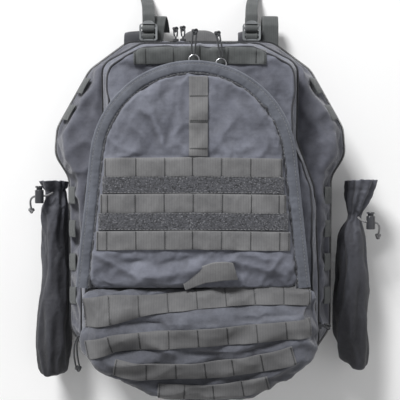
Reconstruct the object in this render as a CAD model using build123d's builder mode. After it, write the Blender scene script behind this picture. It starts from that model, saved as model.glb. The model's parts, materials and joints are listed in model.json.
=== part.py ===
from build123d import *
import os
from math import cos, radians, sin, tan

# Trauma backpack lying on its back: the wearer's side is down on the floor (z = 0),
# the front faces +Z, the top of the pack is +Y and the right-hand side seen from the
# front is +X. Millimetres. The origin is the middle of the spine pad's face.

os.makedirs("parts", exist_ok=True)

# --- driving dimensions -------------------------------------------------------------
WEBBING = 25.4            # width of the load webbing
WEB_T = 2.0               # thickness of webbing sewn on a panel
WALL = 2.6                # padded fabric wall
GAP = 0.3                 # clearance between pieces that part

PAD_Z = 23.8              # top of the pads that lie on the floor
PANEL_Z = (24.0, 31.0)    # mesh back panel
SHEET_Z = (31.2, 32.8)    # stiffener sheet
TUB_Z = (33.0, 78.0)      # rear half of the main compartment
LID_Z = (81.0, 124.0)     # front half of the main compartment
MID_TUB_Z = (124.2, 150.0)
MID_LID_Z = (153.0, 180.0)
GUSSET_Z = (180.1, 188.5)  # low gusset and zip of the two front pockets
ARCH_Z = (189.0, 204.0)   # walls of the arched pocket's flap
PANEL_TOP = 214.0         # top of the arched pocket's raised front panel
BELLY_Z = 236.0           # fullest point of the lower pocket

# half outlines seen from the front, clockwise from the top; mirrored about x = 0
BODY = [(108, 264), (165, 222), (214, 135), (217, 95), (196, 62), (194, -165), (152, -226), (60, -252)]
MIDDLE = [(82, 247), (137, 218), (135, 112), (160, 45), (166, -85), (166, -180), (116, -214), (40, -238)]
LOWER = [(150, -92.5), (156, -104), (156, -172), (118, -205), (60, -234)]
BODY_R = 30.0
MIDDLE_R = 22.0

# arched pocket: a round top on two flared sides
ARCH_X = -9.0             # the pocket sits a little to the left
ARCH_Y = 75.0             # height of the arc's centre
ARCH_R = 138.0            # radius of the storm flap's outer edge
ARCH_FLARE = 6.0          # how far the sides lean out, degrees
ARCH_FOOT = -91.0         # the pocket's lower edge
BAND_INSET = 9.0          # storm flap stands this far out from the pocket's wall
PANEL_INSET = 18.0        # raised panel starts this far inside the storm flap's edge

COIL = (0.3, 2.6)         # the zip coil stands this far out from the walls
COIL_H = 3.6
SLIDER_W = 9.0
PLATE_T = 1.6             # slider's outer plate
BRIDGE_H = 4.6            # bridge that holds the pull ring or cord
PULL_D = 2.4              # cord of the zip pulls
DRAW_D = 3.0              # cord of the pouches
KNOT_R = 4.2

STRAP_X = 90.0            # middle of each shoulder strap
STRAP_W = 64.0
STRAP_T = 11.0
LOCK_X = 80.0             # middle of each load-lifter buckle
LIFTER_W = 20.0
SIDES = {"left": -1, "right": 1}


# --- helpers ------------------------------------------------------------------------
def save(piece, name):
    piece.part.label = name
    export_step(piece.part, f"parts/{name}.step")


def both_sides(half):
    return half + [(-x, y) for x, y in reversed(half)]


def outline(half, radius, scale=(1.0, 1.0), grow=0.0):
    """Closed outline from its right half, scaled about the origin, then grown outwards."""
    points = [(x * scale[0], y * scale[1]) for x, y in both_sides(half)]
    with BuildSketch() as face:
        with BuildLine():
            FilletPolyline(*points, radius=radius, close=True)
        make_face()
        if grow:
            offset(amount=grow, kind=Kind.ARC, mode=Mode.REPLACE)
    return face.sketch


def arch(grow=0.0, foot=ARCH_FOOT):
    """The arched pocket's outline: an arc of constant centre with flared sides."""
    lean = radians(ARCH_FLARE)
    radius = ARCH_R + grow
    spring = (radius * cos(lean), ARCH_Y + radius * sin(lean))
    foot_x = spring[0] + (spring[1] - foot) * tan(lean)
    with BuildSketch() as face:
        with BuildLine():
            CenterArc((ARCH_X, ARCH_Y), radius, ARCH_FLARE, 180 - 2 * ARCH_FLARE)
            Polyline((ARCH_X - spring[0], spring[1]), (ARCH_X - foot_x, foot),
                     (ARCH_X + foot_x, foot), (ARCH_X + spring[0], spring[1]))
        make_face()
    return face.sketch


def tray(low_z, low, high_z, high):
    """Straight-sided body between two outlines, each given as a sketch."""
    with BuildPart() as body:
        with BuildSketch(Plane.XY.offset(low_z)):
            add(low)
        with BuildSketch(Plane.XY.offset(high_z)):
            add(high)
        loft(ruled=True)
    return body.part


def zip_ring(outer, inner, coil_outer, coil_inner, tape_z, coil_z, open_below):
    """Zip tape right round a parting line, with its coil on the top and sides only."""
    with BuildPart() as ring:
        with BuildSketch(Plane.XY.offset(tape_z[0])):
            add(outer)
            add(inner, mode=Mode.SUBTRACT)
        extrude(amount=tape_z[1] - tape_z[0])
        with BuildSketch(Plane.XY.offset(coil_z - COIL_H / 2)):
            add(coil_outer)
            add(coil_inner, mode=Mode.SUBTRACT)
            with Locations((0, open_below - 200)):
                Rectangle(600, 400, mode=Mode.SUBTRACT)
        extrude(amount=COIL_H)
    return ring.part


def slider(plane):
    """Zip slider: a channel that hugs the coil from outside, with a bridge for the pull.

    Local x runs along the zip, local z points away from the pocket's wall."""
    plate = COIL[1] + GAP
    side_on = Plane(origin=plane.origin, x_dir=plane.y_dir, z_dir=plane.x_dir)
    with BuildPart() as body:
        with BuildSketch(plane.offset(plate)):
            RectangleRounded(SLIDER_W, 11.0, 2.0)
        extrude(amount=PLATE_T)
        with BuildSketch(plane.offset(COIL[0] + GAP)):
            with Locations((0, 3.9), (0, -3.9)):
                Rectangle(SLIDER_W - 2.0, 3.0)
        extrude(amount=COIL[1] - COIL[0] + 0.2)
        with BuildSketch(side_on):
            with Locations((0, plate + PLATE_T + BRIDGE_H / 2 - 0.2)):
                RectangleRounded(8.0, BRIDGE_H, 1.2)
            with Locations((0, plate + PLATE_T + BRIDGE_H / 2 - 0.2)):
                RectangleRounded(5.4, BRIDGE_H - 1.8, 0.6, mode=Mode.SUBTRACT)
        extrude(amount=1.2, both=True)
    return body.part


def band(route, radius, thickness, width, x):
    """Webbing or padding of one width that follows a side-on route at one x."""
    with BuildPart() as strip:
        with BuildSketch(Plane.YZ.offset(x)):
            with BuildLine() as line:
                FilletPolyline(*route, radius=radius)
            trace(lines=line.edges(), line_width=thickness)
        extrude(amount=width / 2, both=True)
    return strip.part


def bend_radii(route):
    """As large an arc at each corner of a cord's route as its two runs allow."""
    points = [Vector(*p) for p in route]
    radii = []
    for before, here, after in zip(points, points[1:], points[2:]):
        turn = (here - before).get_angle(after - here)
        shorter = min((here - before).length, (after - here).length)
        radii.append(0.45 * shorter / tan(radians(turn) / 2))
    return radii


def cord(route, diameter, knot):
    """A plain tube along a cord's route, with a knot where one is tied in it."""
    radii = bend_radii(route)
    print("cord radii", [round(r, 1) for r in radii])
    with BuildPart() as tube:
        with BuildLine() as path:
            FilletPolyline(*route, radius=radii)
        start = Vector(*route[0])
        with BuildSketch(Plane(origin=start, z_dir=Vector(*route[1]) - start)):
            Circle(diameter / 2)
        sweep()
        length = sum(edge.length for edge in path.edges())
        print("cord length", round(length, 1), "volume", round(tube.part.volume, 1))
        with Locations(knot):
            Sphere(KNOT_R)
    return tube.part


# --- wearer's side: pads, panel and stiffener ---------------------------------------
SPINE_PAD = (92.0, 260.0, 20.0)      # width, length and corner radius
SPINE_PAD_Y = 35.0
LUMBAR_PAD = (144.0, 110.0, 28.0)
LUMBAR_PAD_Y = -165.0
PANEL_SCALE = (0.91, 0.905)          # back panel and sheet against the body's outline
SHEET_SCALE = (0.80, 0.84)
HANDLE_Z = (20.4, 23.8)
HANDLE = (68.0, 68.0, 12.0)
HANDLE_HOLE = (28.0, 40.0, 5.0)
HANDLE_Y, HANDLE_HOLE_Y = 261.0, 251.0

with BuildPart() as spine_pad:
    with BuildSketch():
        with Locations((0, SPINE_PAD_Y)):
            RectangleRounded(*SPINE_PAD)
    extrude(amount=PAD_Z)
    fillet(spine_pad.edges().group_by(Axis.Z)[-1], 6)
save(spine_pad, "spine_pad")

with BuildPart() as lumbar_pad:
    with BuildSketch():
        with Locations((0, LUMBAR_PAD_Y)):
            RectangleRounded(*LUMBAR_PAD)
    extrude(amount=PAD_Z)
    fillet(lumbar_pad.edges().group_by(Axis.Z)[-1], 8)
save(lumbar_pad, "lumbar_pad")

with BuildPart() as back_panel:
    with BuildSketch(Plane.XY.offset(PANEL_Z[0])):
        add(outline(BODY, BODY_R, PANEL_SCALE))
    extrude(amount=PANEL_Z[1] - PANEL_Z[0])
save(back_panel, "back_panel")

with BuildPart() as frame_sheet:
    with BuildSketch(Plane.XY.offset(SHEET_Z[0])):
        add(outline(BODY, BODY_R, SHEET_SCALE))
    extrude(amount=SHEET_Z[1] - SHEET_Z[0])
save(frame_sheet, "frame_sheet")

with BuildPart() as grab_handle:
    with BuildSketch(Plane.XY.offset(HANDLE_Z[0])):
        with Locations((0, HANDLE_Y)):
            RectangleRounded(*HANDLE)
        with Locations((0, HANDLE_HOLE_Y)):
            RectangleRounded(*HANDLE_HOLE, mode=Mode.SUBTRACT)
    extrude(amount=HANDLE_Z[1] - HANDLE_Z[0])
save(grab_handle, "grab_handle")

# --- main compartment ---------------------------------------------------------------
FLARE_TUB = (0.935, 0.965)
FLARE_LID = (0.90, 0.965)
body_line = outline(BODY, BODY_R)
body_inside = outline(BODY, BODY_R, grow=-WALL)
tub_low = outline(BODY, BODY_R, FLARE_TUB)
tub_low_inside = outline(BODY, BODY_R, FLARE_TUB, grow=-WALL)
lid_high = outline(BODY, BODY_R, FLARE_LID)
lid_high_inside = outline(BODY, BODY_R, FLARE_LID, grow=-WALL - 1.5)

with BuildPart() as main_tub:
    add(tray(TUB_Z[0], tub_low, TUB_Z[1], body_line))
    add(tray(TUB_Z[0] + 2, tub_low_inside, TUB_Z[1], body_inside), mode=Mode.SUBTRACT)
save(main_tub, "main_tub")

with BuildPart() as main_lid:
    add(tray(LID_Z[0], body_line, LID_Z[1], lid_high))
    fillet(main_lid.edges().group_by(Axis.Z)[-1], 9)
    add(tray(LID_Z[0], body_inside, LID_Z[1] - WALL, lid_high_inside), mode=Mode.SUBTRACT)
save(main_lid, "main_lid")

PARTING = (TUB_Z[1] + LID_Z[0]) / 2
with BuildPart() as main_zip:
    add(zip_ring(
        outline(BODY, BODY_R, grow=0.4), outline(BODY, BODY_R, grow=-6),
        outline(BODY, BODY_R, grow=COIL[1]), outline(BODY, BODY_R, grow=COIL[0]),
        (TUB_Z[1] + 0.1, LID_Z[0] - GAP), PARTING, -165))
save(main_zip, "main_zip")

# a flat sleeve against the back, open at the top
SLEEVE = (280.0, 250.0, 10.0)
SLEEVE_Y = -75.0
SLEEVE_WALL = 4.0
SLEEVE_BACK = TUB_Z[0] + 2.2
with BuildPart() as inner_sleeve:
    with BuildSketch(Plane.XY.offset(SLEEVE_BACK)):
        with Locations((0, SLEEVE_Y)):
            Rectangle(SLEEVE[0], SLEEVE[1])
    extrude(amount=SLEEVE[2])
    with BuildSketch(Plane.XY.offset(SLEEVE_BACK)):
        with Locations((0, SLEEVE_Y + SLEEVE_WALL)):
            Rectangle(SLEEVE[0] - 2 * SLEEVE_WALL, SLEEVE[1])
    extrude(amount=SLEEVE[2] - SLEEVE_WALL / 2, mode=Mode.SUBTRACT)
save(inner_sleeve, "inner_sleeve")

# elastic loops sewn inside the lid, for instruments
LOOP_COUNT = 6
LOOP_PITCH = 34.0
LOOP_FACE = LID_Z[1] - WALL - 0.1
LOOP_R = (13.0, 11.6)
LOOP_BASE = 1.6
LOOP_LENGTH = 30.0
with BuildPart() as elastic_loops:
    with BuildSketch(Plane.XZ):
        with Locations((0, LOOP_FACE - 1.0)):
            with GridLocations(LOOP_PITCH, 0, LOOP_COUNT, 1):
                Circle(LOOP_R[0])
            with GridLocations(LOOP_PITCH, 0, LOOP_COUNT, 1):
                Circle(LOOP_R[1], mode=Mode.SUBTRACT)
        with Locations((0, LOOP_FACE + 10)):
            Rectangle(LOOP_COUNT * LOOP_PITCH, 20, mode=Mode.SUBTRACT)
        with Locations((0, LOOP_FACE - LOOP_BASE / 2)):
            Rectangle(LOOP_COUNT * LOOP_PITCH, LOOP_BASE)
    extrude(amount=LOOP_LENGTH / 2, both=True)
save(elastic_loops, "elastic_loops")

# rows of webbing on the sloping sides of the lid: (edge of the outline, place along it)
SIDE_ROWS = [(1, 0.28), (1, 0.74), (4, 0.12), (4, 0.34), (4, 0.56), (4, 0.78)]
ROW_START = 4.0
ROW_LENGTH = 33.0
with BuildPart() as side_webbing:
    for edge, place in SIDE_ROWS:
        upper, lower = BODY[edge], BODY[edge + 1]
        foot = Vector(upper[0] + (lower[0] - upper[0]) * place,
                      upper[1] + (lower[1] - upper[1]) * place, LID_Z[0])
        head = Vector(foot.X * FLARE_LID[0], foot.Y * FLARE_LID[1], LID_Z[1])
        along = Vector(lower[0] - upper[0], lower[1] - upper[1], 0)
        outward = (head - foot).cross(along)
        with BuildSketch(Plane(origin=foot, x_dir=along, z_dir=outward).offset(0.4)):
            with Locations((0, -ROW_START - ROW_LENGTH / 2)):
                Rectangle(WEBBING, ROW_LENGTH)
        extrude(amount=WEB_T)
    mirror(about=Plane.YZ)
save(side_webbing, "side_webbing")

# --- middle compartment -------------------------------------------------------------
MID_FLARE = (0.955, 0.968)
middle_line = outline(MIDDLE, MIDDLE_R)
middle_inside = outline(MIDDLE, MIDDLE_R, grow=-WALL)
middle_low = outline(MIDDLE, MIDDLE_R, (1.02, 1.0))
middle_low_inside = outline(MIDDLE, MIDDLE_R, (1.02, 1.0), grow=-WALL)
middle_high = outline(MIDDLE, MIDDLE_R, MID_FLARE)
middle_high_inside = outline(MIDDLE, MIDDLE_R, MID_FLARE, grow=-WALL - 0.8)

with BuildPart() as mid_tub:
    add(tray(MID_TUB_Z[0], middle_low, MID_TUB_Z[1], middle_line))
    add(tray(MID_TUB_Z[0] + 2, middle_low_inside, MID_TUB_Z[1], middle_inside), mode=Mode.SUBTRACT)
save(mid_tub, "mid_tub")

MID_PARTING = (MID_TUB_Z[1] + MID_LID_Z[0]) / 2
with BuildPart() as mid_zip:
    add(zip_ring(
        outline(MIDDLE, MIDDLE_R, grow=0.4), outline(MIDDLE, MIDDLE_R, grow=-6),
        outline(MIDDLE, MIDDLE_R, grow=COIL[1]), outline(MIDDLE, MIDDLE_R, grow=COIL[0]),
        (MID_TUB_Z[1] + 0.1, MID_LID_Z[0] - GAP), MID_PARTING, -172))
save(mid_zip, "mid_zip")

with BuildPart() as mid_lid:
    add(tray(MID_LID_Z[0], middle_line, MID_LID_Z[1], middle_high))
    fillet(mid_lid.edges().group_by(Axis.Z)[-1], 5)
    add(tray(MID_LID_Z[0], middle_inside, MID_LID_Z[1] - WALL, middle_high_inside), mode=Mode.SUBTRACT)
save(mid_lid, "mid_lid")

TOP_ROW = (184.0, 24.4)
TOP_ROW_Y = 226.0
with BuildPart() as top_webbing:
    with BuildSketch(Plane.XY.offset(MID_LID_Z[1] + 0.1)):
        with Locations((0, TOP_ROW_Y)):
            Rectangle(*TOP_ROW)
    extrude(amount=WEB_T)
save(top_webbing, "top_webbing")

# --- arched pocket ------------------------------------------------------------------
ARCH_WALL = -BAND_INSET
ARCH_COIL = GUSSET_Z[0] + 5.9
with BuildPart() as arch_zip:
    add(zip_ring(
        arch(ARCH_WALL + 0.4), arch(ARCH_WALL - 6, ARCH_FOOT + 6),
        arch(ARCH_WALL + COIL[1], ARCH_FOOT - 5), arch(ARCH_WALL + COIL[0], ARCH_FOOT - 5),
        GUSSET_Z, ARCH_COIL, ARCH_FOOT + 8))
save(arch_zip, "arch_zip")

with BuildPart() as arch_flap:
    add(tray(ARCH_Z[0], arch(ARCH_WALL), ARCH_Z[1], arch(ARCH_WALL - 2)))
    add(tray(ARCH_Z[1], arch(-PANEL_INSET), PANEL_TOP, arch(-PANEL_INSET - 2, ARCH_FOOT + 18)))
    add(tray(ARCH_Z[0], arch(ARCH_WALL - WALL, ARCH_FOOT + WALL),
             ARCH_Z[1] - WALL, arch(ARCH_WALL - WALL - 2, ARCH_FOOT + WALL)), mode=Mode.SUBTRACT)
save(arch_flap, "arch_flap")

with BuildPart() as storm_flap:
    with BuildSketch(Plane.XY.offset(ARCH_Z[1] + 0.1)):
        add(arch())
        add(arch(-PANEL_INSET + 0.2, ARCH_FOOT - 5), mode=Mode.SUBTRACT)
    extrude(amount=2.2)
save(storm_flap, "storm_flap")

ROWS = [(71, 118), (23, 123), (-26, 128)]         # height and half length
LOOPS = [(47, 120), (-1.5, 125.5)]
LOOP_W = 22.4             # width of the loop tape
STRIP = (7.0, 138.0, 107.0)     # the middle strip's place across and up the panel, its length
TAB = (24.0, -60.0, 60.0, 25.0)  # the folded tab's place, length and width
PANEL_FACE = PANEL_TOP + 0.1
with BuildPart() as front_webbing:
    for height, half in ROWS:
        with BuildSketch(Plane.XY.offset(PANEL_FACE)):
            with Locations((ARCH_X, height)):
                Rectangle(2 * half, WEBBING)
        extrude(amount=WEB_T)
save(front_webbing, "front_webbing")

with BuildPart() as loop_strips:
    for height, half in LOOPS:
        with BuildSketch(Plane.XY.offset(PANEL_FACE)):
            with Locations((ARCH_X, height)):
                Rectangle(2 * half, LOOP_W)
        extrude(amount=1.6)
save(loop_strips, "loop_strips")

with BuildPart() as centre_strip:
    with BuildSketch(Plane.XY.offset(PANEL_FACE)):
        with Locations((ARCH_X + STRIP[0], STRIP[1])):
            Rectangle(WEBBING, STRIP[2])
    extrude(amount=WEB_T)
save(centre_strip, "centre_strip")

with BuildPart() as folded_tab:
    with BuildSketch(Plane.XY.offset(PANEL_FACE)):
        with Locations((ARCH_X + TAB[0], TAB[1])):
            Rectangle(TAB[2], TAB[3])
    extrude(amount=2.4)
save(folded_tab, "folded_tab")

# --- lower pocket: a belly that hangs over its own foot --------------------------------
BELLY = [(-92.5, GUSSET_Z[1] + 0.5), (-92.5, 210), (-122, BELLY_Z), (-178, BELLY_Z),
         (-229, 214), (-246, 198), (-240.5, GUSSET_Z[1] + 0.5)]
CROSS = [(-158, GUSSET_Z[1] + 0.5), (-158, 214), (-134, BELLY_Z), (134, BELLY_Z), (158, 214),
         (158, GUSSET_Z[1] + 0.5)]
LOWER_R = 9.0
# seen from the front the bag hangs lower on the right than on the left
BELLY_PLAN = [(150, -92.5), (157, -104), (158, -165), (124, -207), (92, -226), (56, -243), (0, -248),
              (-48, -242), (-98, -216), (-124, -203), (-158, -176), (-158, -150), (-157, -104),
              (-150, -92.5)]


def belly(grow):
    """The lower pocket's outer form, grown by some thickness."""
    with BuildPart() as form:
        with BuildSketch(Plane.YZ):
            with BuildLine():
                FilletPolyline(*BELLY, radius=6, close=True)
            make_face()
            offset(amount=grow, kind=Kind.ARC, mode=Mode.REPLACE)
        extrude(amount=200, both=True)
        with BuildSketch():
            with BuildLine():
                FilletPolyline(*BELLY_PLAN, radius=LOWER_R, close=True)
            make_face()
            offset(amount=grow, kind=Kind.ARC, mode=Mode.REPLACE)
        extrude(amount=300, mode=Mode.INTERSECT)
        with BuildSketch(Plane.XZ):
            with BuildLine():
                FilletPolyline(*CROSS, radius=12, close=True)
            make_face()
            offset(amount=grow, kind=Kind.ARC, mode=Mode.REPLACE)
        extrude(amount=300, both=True, mode=Mode.INTERSECT)
    return form.part


lower_inside = outline(LOWER, LOWER_R, grow=-WALL)

with BuildPart() as lower_zip:
    add(zip_ring(
        outline(LOWER, LOWER_R, grow=0.4), outline(LOWER, LOWER_R, grow=-6),
        outline(LOWER, LOWER_R, grow=COIL[1]), outline(LOWER, LOWER_R, grow=COIL[0]),
        GUSSET_Z, ARCH_COIL, -172))
    split(bisect_by=Plane.XZ.offset(92.4), keep=Keep.TOP)
save(lower_zip, "lower_zip")

with BuildPart() as lower_flap:
    add(belly(0))
    add(belly(-WALL), mode=Mode.SUBTRACT)
    with BuildSketch(Plane.XY.offset(GUSSET_Z[1])):
        add(lower_inside)
    extrude(amount=WALL + 1.0, mode=Mode.SUBTRACT)
save(lower_flap, "lower_flap")

LOWER_ROWS = [(-98, -121, 148), (-134, -159.4, 150), (-182, -205, 124), (-219, -238, 64)]
webbing_skin = belly(WEB_T + 0.2) - belly(0.2)
with BuildPart() as lower_webbing:
    for upper, lower, half in LOWER_ROWS:
        with BuildSketch(Plane.XY.offset(GUSSET_Z[1] + 6)):
            with Locations((0, (upper + lower) / 2)):
                Rectangle(2 * half, upper - lower)
        extrude(amount=80)
    add(webbing_skin, mode=Mode.INTERSECT)
save(lower_webbing, "lower_webbing")

# --- zip sliders --------------------------------------------------------------------
SLIDER_X = {"left": -36.5, "right": -25.5}
for side in SIDES:
    with BuildPart() as main_slider:
        add(slider(Plane(origin=(SLIDER_X[side], BODY[0][1], PARTING), x_dir=(1, 0, 0), z_dir=(0, 1, 0))))
    save(main_slider, f"main_slider_{side}")

with BuildPart() as mid_slider:
    add(slider(Plane(origin=(MIDDLE[4][0], -150, MID_PARTING), x_dir=(0, 1, 0), z_dir=(1, 0, 0))))
save(mid_slider, "mid_slider")

with BuildPart() as lower_slider:
    add(slider(Plane(origin=(-LOWER[1][0], -160, ARCH_COIL), x_dir=(0, 1, 0), z_dir=(-1, 0, 0))))
save(lower_slider, "lower_slider")

ARCH_SLIDER = {"left": 0.3, "right": 15.3}       # degrees from the top, clockwise
RING_R = 7.0
RING_WIRE = 1.0
BRIDGE_AT = COIL[1] + GAP + PLATE_T + BRIDGE_H / 2 - 0.2
for side in SIDES:
    lean = radians(ARCH_SLIDER[side])
    outward = Vector(sin(lean), cos(lean), 0)
    wall = Vector(ARCH_X, ARCH_Y, ARCH_COIL) + outward * (ARCH_R - BAND_INSET)
    with BuildPart() as arch_slider:
        add(slider(Plane(origin=wall, x_dir=(cos(lean), -sin(lean), 0), z_dir=outward)))
    save(arch_slider, f"arch_slider_{side}")
    with BuildPart() as pull_ring:
        with Locations(wall + outward * (BRIDGE_AT + RING_R)):
            Torus(RING_R, RING_WIRE)
    save(pull_ring, f"pull_ring_{side}")

# --- zip pulls: one cord doubled through each slider, knotted at its end ---------------
PULLS = {
    "arch_pull_left": ([(-11.0, 226.2, 186.2), (-11.6, 235, 187.6), (-10.6, 244.5, 188.2),
                        (-9.7, 252.6, 187.4), (-9.6, 258.2, 186.6), (-4.4, 258.4, 186.4),
                        (-4.7, 252.8, 187.2), (-5.9, 244, 188.0), (-6.3, 235, 187.4),
                        (-7.4, 226.2, 186.2)], (-7.1, 256.4, 186.6)),
    "arch_pull_right": ([(28.0, 222.0, 186.2), (25.7, 232.6, 187.6), (24.3, 241.4, 188.2),
                         (22.3, 249.6, 187.4), (20.9, 254.4, 186.6), (26.0, 255.6, 186.4),
                         (27.0, 250.6, 187.2), (28.3, 242, 188.0), (30.2, 233.4, 187.4),
                         (31.4, 222.2, 186.2)], (23.7, 253.4, 186.6)),
    "main_pull_left": ([(-38.4, 273.4, 79.6), (-39.2, 278.0, 78.9), (-39.7, 282.4, 76.8),
                        (-39.8, 286.3, 73.9), (-34.6, 286.5, 73.7), (-34.2, 282.6, 76.7),
                        (-34.0, 278.0, 78.8), (-34.6, 273.4, 79.6)], (-37.2, 285.0, 74.8)),
    "main_pull_right": ([(-27.4, 273.4, 79.6), (-28.2, 278.4, 78.9), (-28.7, 283.4, 77.0),
                         (-28.8, 287.8, 74.4), (-23.6, 288, 74.2), (-23.2, 283.6, 76.9),
                         (-23.0, 278.4, 78.8), (-23.6, 273.4, 79.6)], (-26.2, 286.4, 75.2)),
    "mid_pull": ([(175.4, -148.0, 151.4), (179.8, -148.2, 148.8), (182.1, -149.3, 143.8),
                  (182.6, -150.9, 138.6), (182.7, -156.1, 138.2), (182.2, -154.4, 143.4),
                  (179.7, -153.0, 148.6), (175.4, -152.0, 151.4)], (182.5, -153.4, 139.2)),
    "lower_pull": ([(-165.9, -157.8, 186.0), (-170.4, -165.4, 184.4), (-172.4, -175.6, 181.8),
                    (-173.0, -185.8, 178.4), (-172.4, -195.4, 174.4), (-171.6, -203.0, 170.6),
                    (-170.8, -208.0, 167.6), (-165.8, -209.4, 167.2), (-166.6, -203.0, 170.6),
                    (-167.6, -195.4, 174.6), (-168.4, -186.2, 178.2), (-168.6, -176.6, 181.4),
                    (-168.4, -168.4, 183.8), (-165.9, -161.6, 185.4)], (-168.6, -206.2, 169.0)),
}
for name, (route, knot) in PULLS.items():
    with BuildPart() as pull:
        add(cord(route, PULL_D, knot))
    save(pull, name)

# --- side pouches -------------------------------------------------------------------
# sections from the mouth down: height, centre x, centre z, half width, half depth
POUCHES = {
    "left": [(56, -224, 58, 23, 29), (38, -222, 56, 17, 21), (14, -223, 54, 21, 29),
             (-50, -224, 50, 24, 34), (-110, -223, 49, 23, 34), (-195, -226, 47, 29, 41),
             (-240, -225, 46, 23, 33)],
    "right": [(58, 246, 60, 25, 34), (26, 242, 59, 19, 27), (2, 238, 56, 13, 17),
              (-28, 235, 53, 23, 31), (-100, 231, 50, 29, 39), (-180, 232, 48, 30, 42),
              (-228, 243, 47, 20, 33)],
}
POUCH_WALL = 2.0


def bag(sections, inset):
    with BuildPart() as form:
        for height, x, z, half_x, half_z in sections:
            with BuildSketch(Plane.XZ.offset(-height)):
                with Locations((x, z)):
                    Ellipse(half_x - inset, half_z - inset)
        loft(ruled=True)
    return form.part


for side, sections in POUCHES.items():
    foot = sections[-1]
    hollow = sections[:-1] + [(foot[0] + POUCH_WALL,) + foot[1:]]
    with BuildPart() as pouch:
        add(bag(sections, 0))
        add(bag(hollow, POUCH_WALL), mode=Mode.SUBTRACT)
    save(pouch, f"pouch_{side}")

# --- drawcords and their cord locks ---------------------------------------------------
LOCKS = {"left": (-240, 33, 88), "right": (256, -6, 84)}
BARREL = (6.5, 20.0)      # radius and length of a cord lock's body
BORE_R = 4.7
PLUNGER_R = 4.4
PRESS = 3.0               # the button's travel
for side, (x, y, z) in LOCKS.items():
    along = Plane(origin=(x, y + 9, z), x_dir=(1, 0, 0), z_dir=(0, -1, 0))
    across = Plane(origin=(x, y, z), x_dir=(0, 1, 0), z_dir=(1, 0, 0))
    with BuildPart() as cord_lock:
        with BuildSketch(along):
            Circle(BARREL[0])
        extrude(amount=BARREL[1])
        fillet(cord_lock.edges().filter_by(GeomType.CIRCLE), 1.2)
        with BuildSketch(along):
            Circle(BORE_R)
        extrude(amount=BARREL[1] - 1.6, mode=Mode.SUBTRACT)
        with BuildSketch(across):
            Circle(2.4)
        extrude(amount=10, both=True, mode=Mode.SUBTRACT)
    save(cord_lock, f"cord_lock_{side}")
    with BuildPart() as lock_button:
        with BuildSketch(along.offset(-PRESS - 0.4)):
            Circle(PLUNGER_R)
        extrude(amount=PRESS + 14.4)
        with BuildSketch(along.offset(-PRESS - 3.0)):
            Circle(BARREL[0] - 0.6)
        extrude(amount=2.6)
        fillet(lock_button.edges().group_by(Axis.Y)[-1], 1.0)
        with BuildSketch(across):
            with Locations((1.5, 0)):
                SlotOverall(7.6, 4.2)
        extrude(amount=10, both=True, mode=Mode.SUBTRACT)
    save(lock_button, f"lock_button_{side}")
    with BuildPart() as lock_spring:
        with BuildLine() as coil:
            Helix(pitch=1.25, height=3.4, radius=3.2, center=(x, y - 5.35, z), direction=(0, -1, 0))
        with BuildSketch(Plane(coil.line @ 0, z_dir=coil.line % 0)):
            Circle(0.3)
        sweep(is_frenet=True)
    save(lock_spring, f"lock_spring_{side}")

DRAWCORDS = {
    "left": ([(-222, 38, 79.4), (-226.2, 34.6, 84.8), (-232.4, 33, 88), (-247.6, 33, 88),
              (-253.4, 28.6, 86.4), (-255, 21, 82.2), (-254.4, 13.4, 77.6)], (-254.4, 11.4, 76.4)),
    "right": ([(238.6, 1, 75.8), (242.2, -3.6, 81), (248.4, -6, 84), (263.6, -6, 84),
               (269, -10.6, 82), (270.6, -18.4, 77.6), (269.8, -26, 72.8)], (269.8, -27.8, 71.8)),
}
for side, (route, knot) in DRAWCORDS.items():
    with BuildPart() as drawcord:
        add(cord(route, DRAW_D, knot))
    save(drawcord, f"drawcord_{side}")

# --- ladderlock buckles ---------------------------------------------------------------
LOCK_W = 28.0
LOCK_T = 3.6
BAR_R = 1.7               # round bar that the buckle tilts on
BAR_AT = 8.0              # from the buckle's foot to that bar
UPPER_LOCK = (274.0, 44.0)
LOWER_LOCK = (-66.0, 7.0)


def ladderlock(x, foot, toward):
    """Buckle lying flat, its thumb tab pointing along toward * Y."""
    y, z = foot
    face = Plane(origin=(x, y, z), x_dir=(toward, 0, 0), z_dir=(0, 0, 1))
    with BuildPart() as frame:
        with BuildSketch(face):
            with Locations((0, 13)):
                RectangleRounded(LOCK_W, 26, 4)
            with Locations((0, 25)):
                Ellipse(9.5, 6)
            with Locations((0, 10.5)):
                Rectangle(LOCK_W - 6, 15, mode=Mode.SUBTRACT)
            with Locations((0, 23.25)):
                Rectangle(LOCK_W - 6, 4.5, mode=Mode.SUBTRACT)
        extrude(amount=LOCK_T)
        with BuildSketch(Plane.YZ.offset(x)):
            with Locations((y + toward * BAR_AT, z + LOCK_T / 2)):
                Circle(BAR_R)
        extrude(amount=LOCK_W / 2 - 2, both=True)
    return frame.part


def keeper(x, foot, toward, tail):
    """Webbing looped round the tilt bar, with a tail that drops clear of the buckle."""
    y, z = foot[0] + toward * BAR_AT, foot[1] + LOCK_T / 2
    with BuildPart() as loop:
        with BuildSketch(Plane.YZ.offset(x)):
            with BuildLine() as line:
                FilletPolyline((y, z - BAR_R - 1.05), *tail, radius=3)
            trace(lines=line.edges(), line_width=1.4)
            with Locations((y, z)):
                Circle(BAR_R + 1.75)
                Circle(BAR_R + 0.35, mode=Mode.SUBTRACT)
        extrude(amount=9, both=True)
    return loop.part


for side, sign in SIDES.items():
    with BuildPart() as upper_ladderlock:
        add(ladderlock(sign * LOCK_X, UPPER_LOCK, 1))
    save(upper_ladderlock, f"upper_ladderlock_{side}")
    with BuildPart() as lower_ladderlock:
        add(ladderlock(sign * STRAP_X, LOWER_LOCK, -1))
    save(lower_ladderlock, f"lower_ladderlock_{side}")

with BuildPart() as lifter_anchors:
    for sign in SIDES.values():
        add(keeper(sign * LOCK_X, UPPER_LOCK, 1, [(273, 37.1), (256.8, 37.1)]))
save(lifter_anchors, "lifter_anchors")

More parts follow.
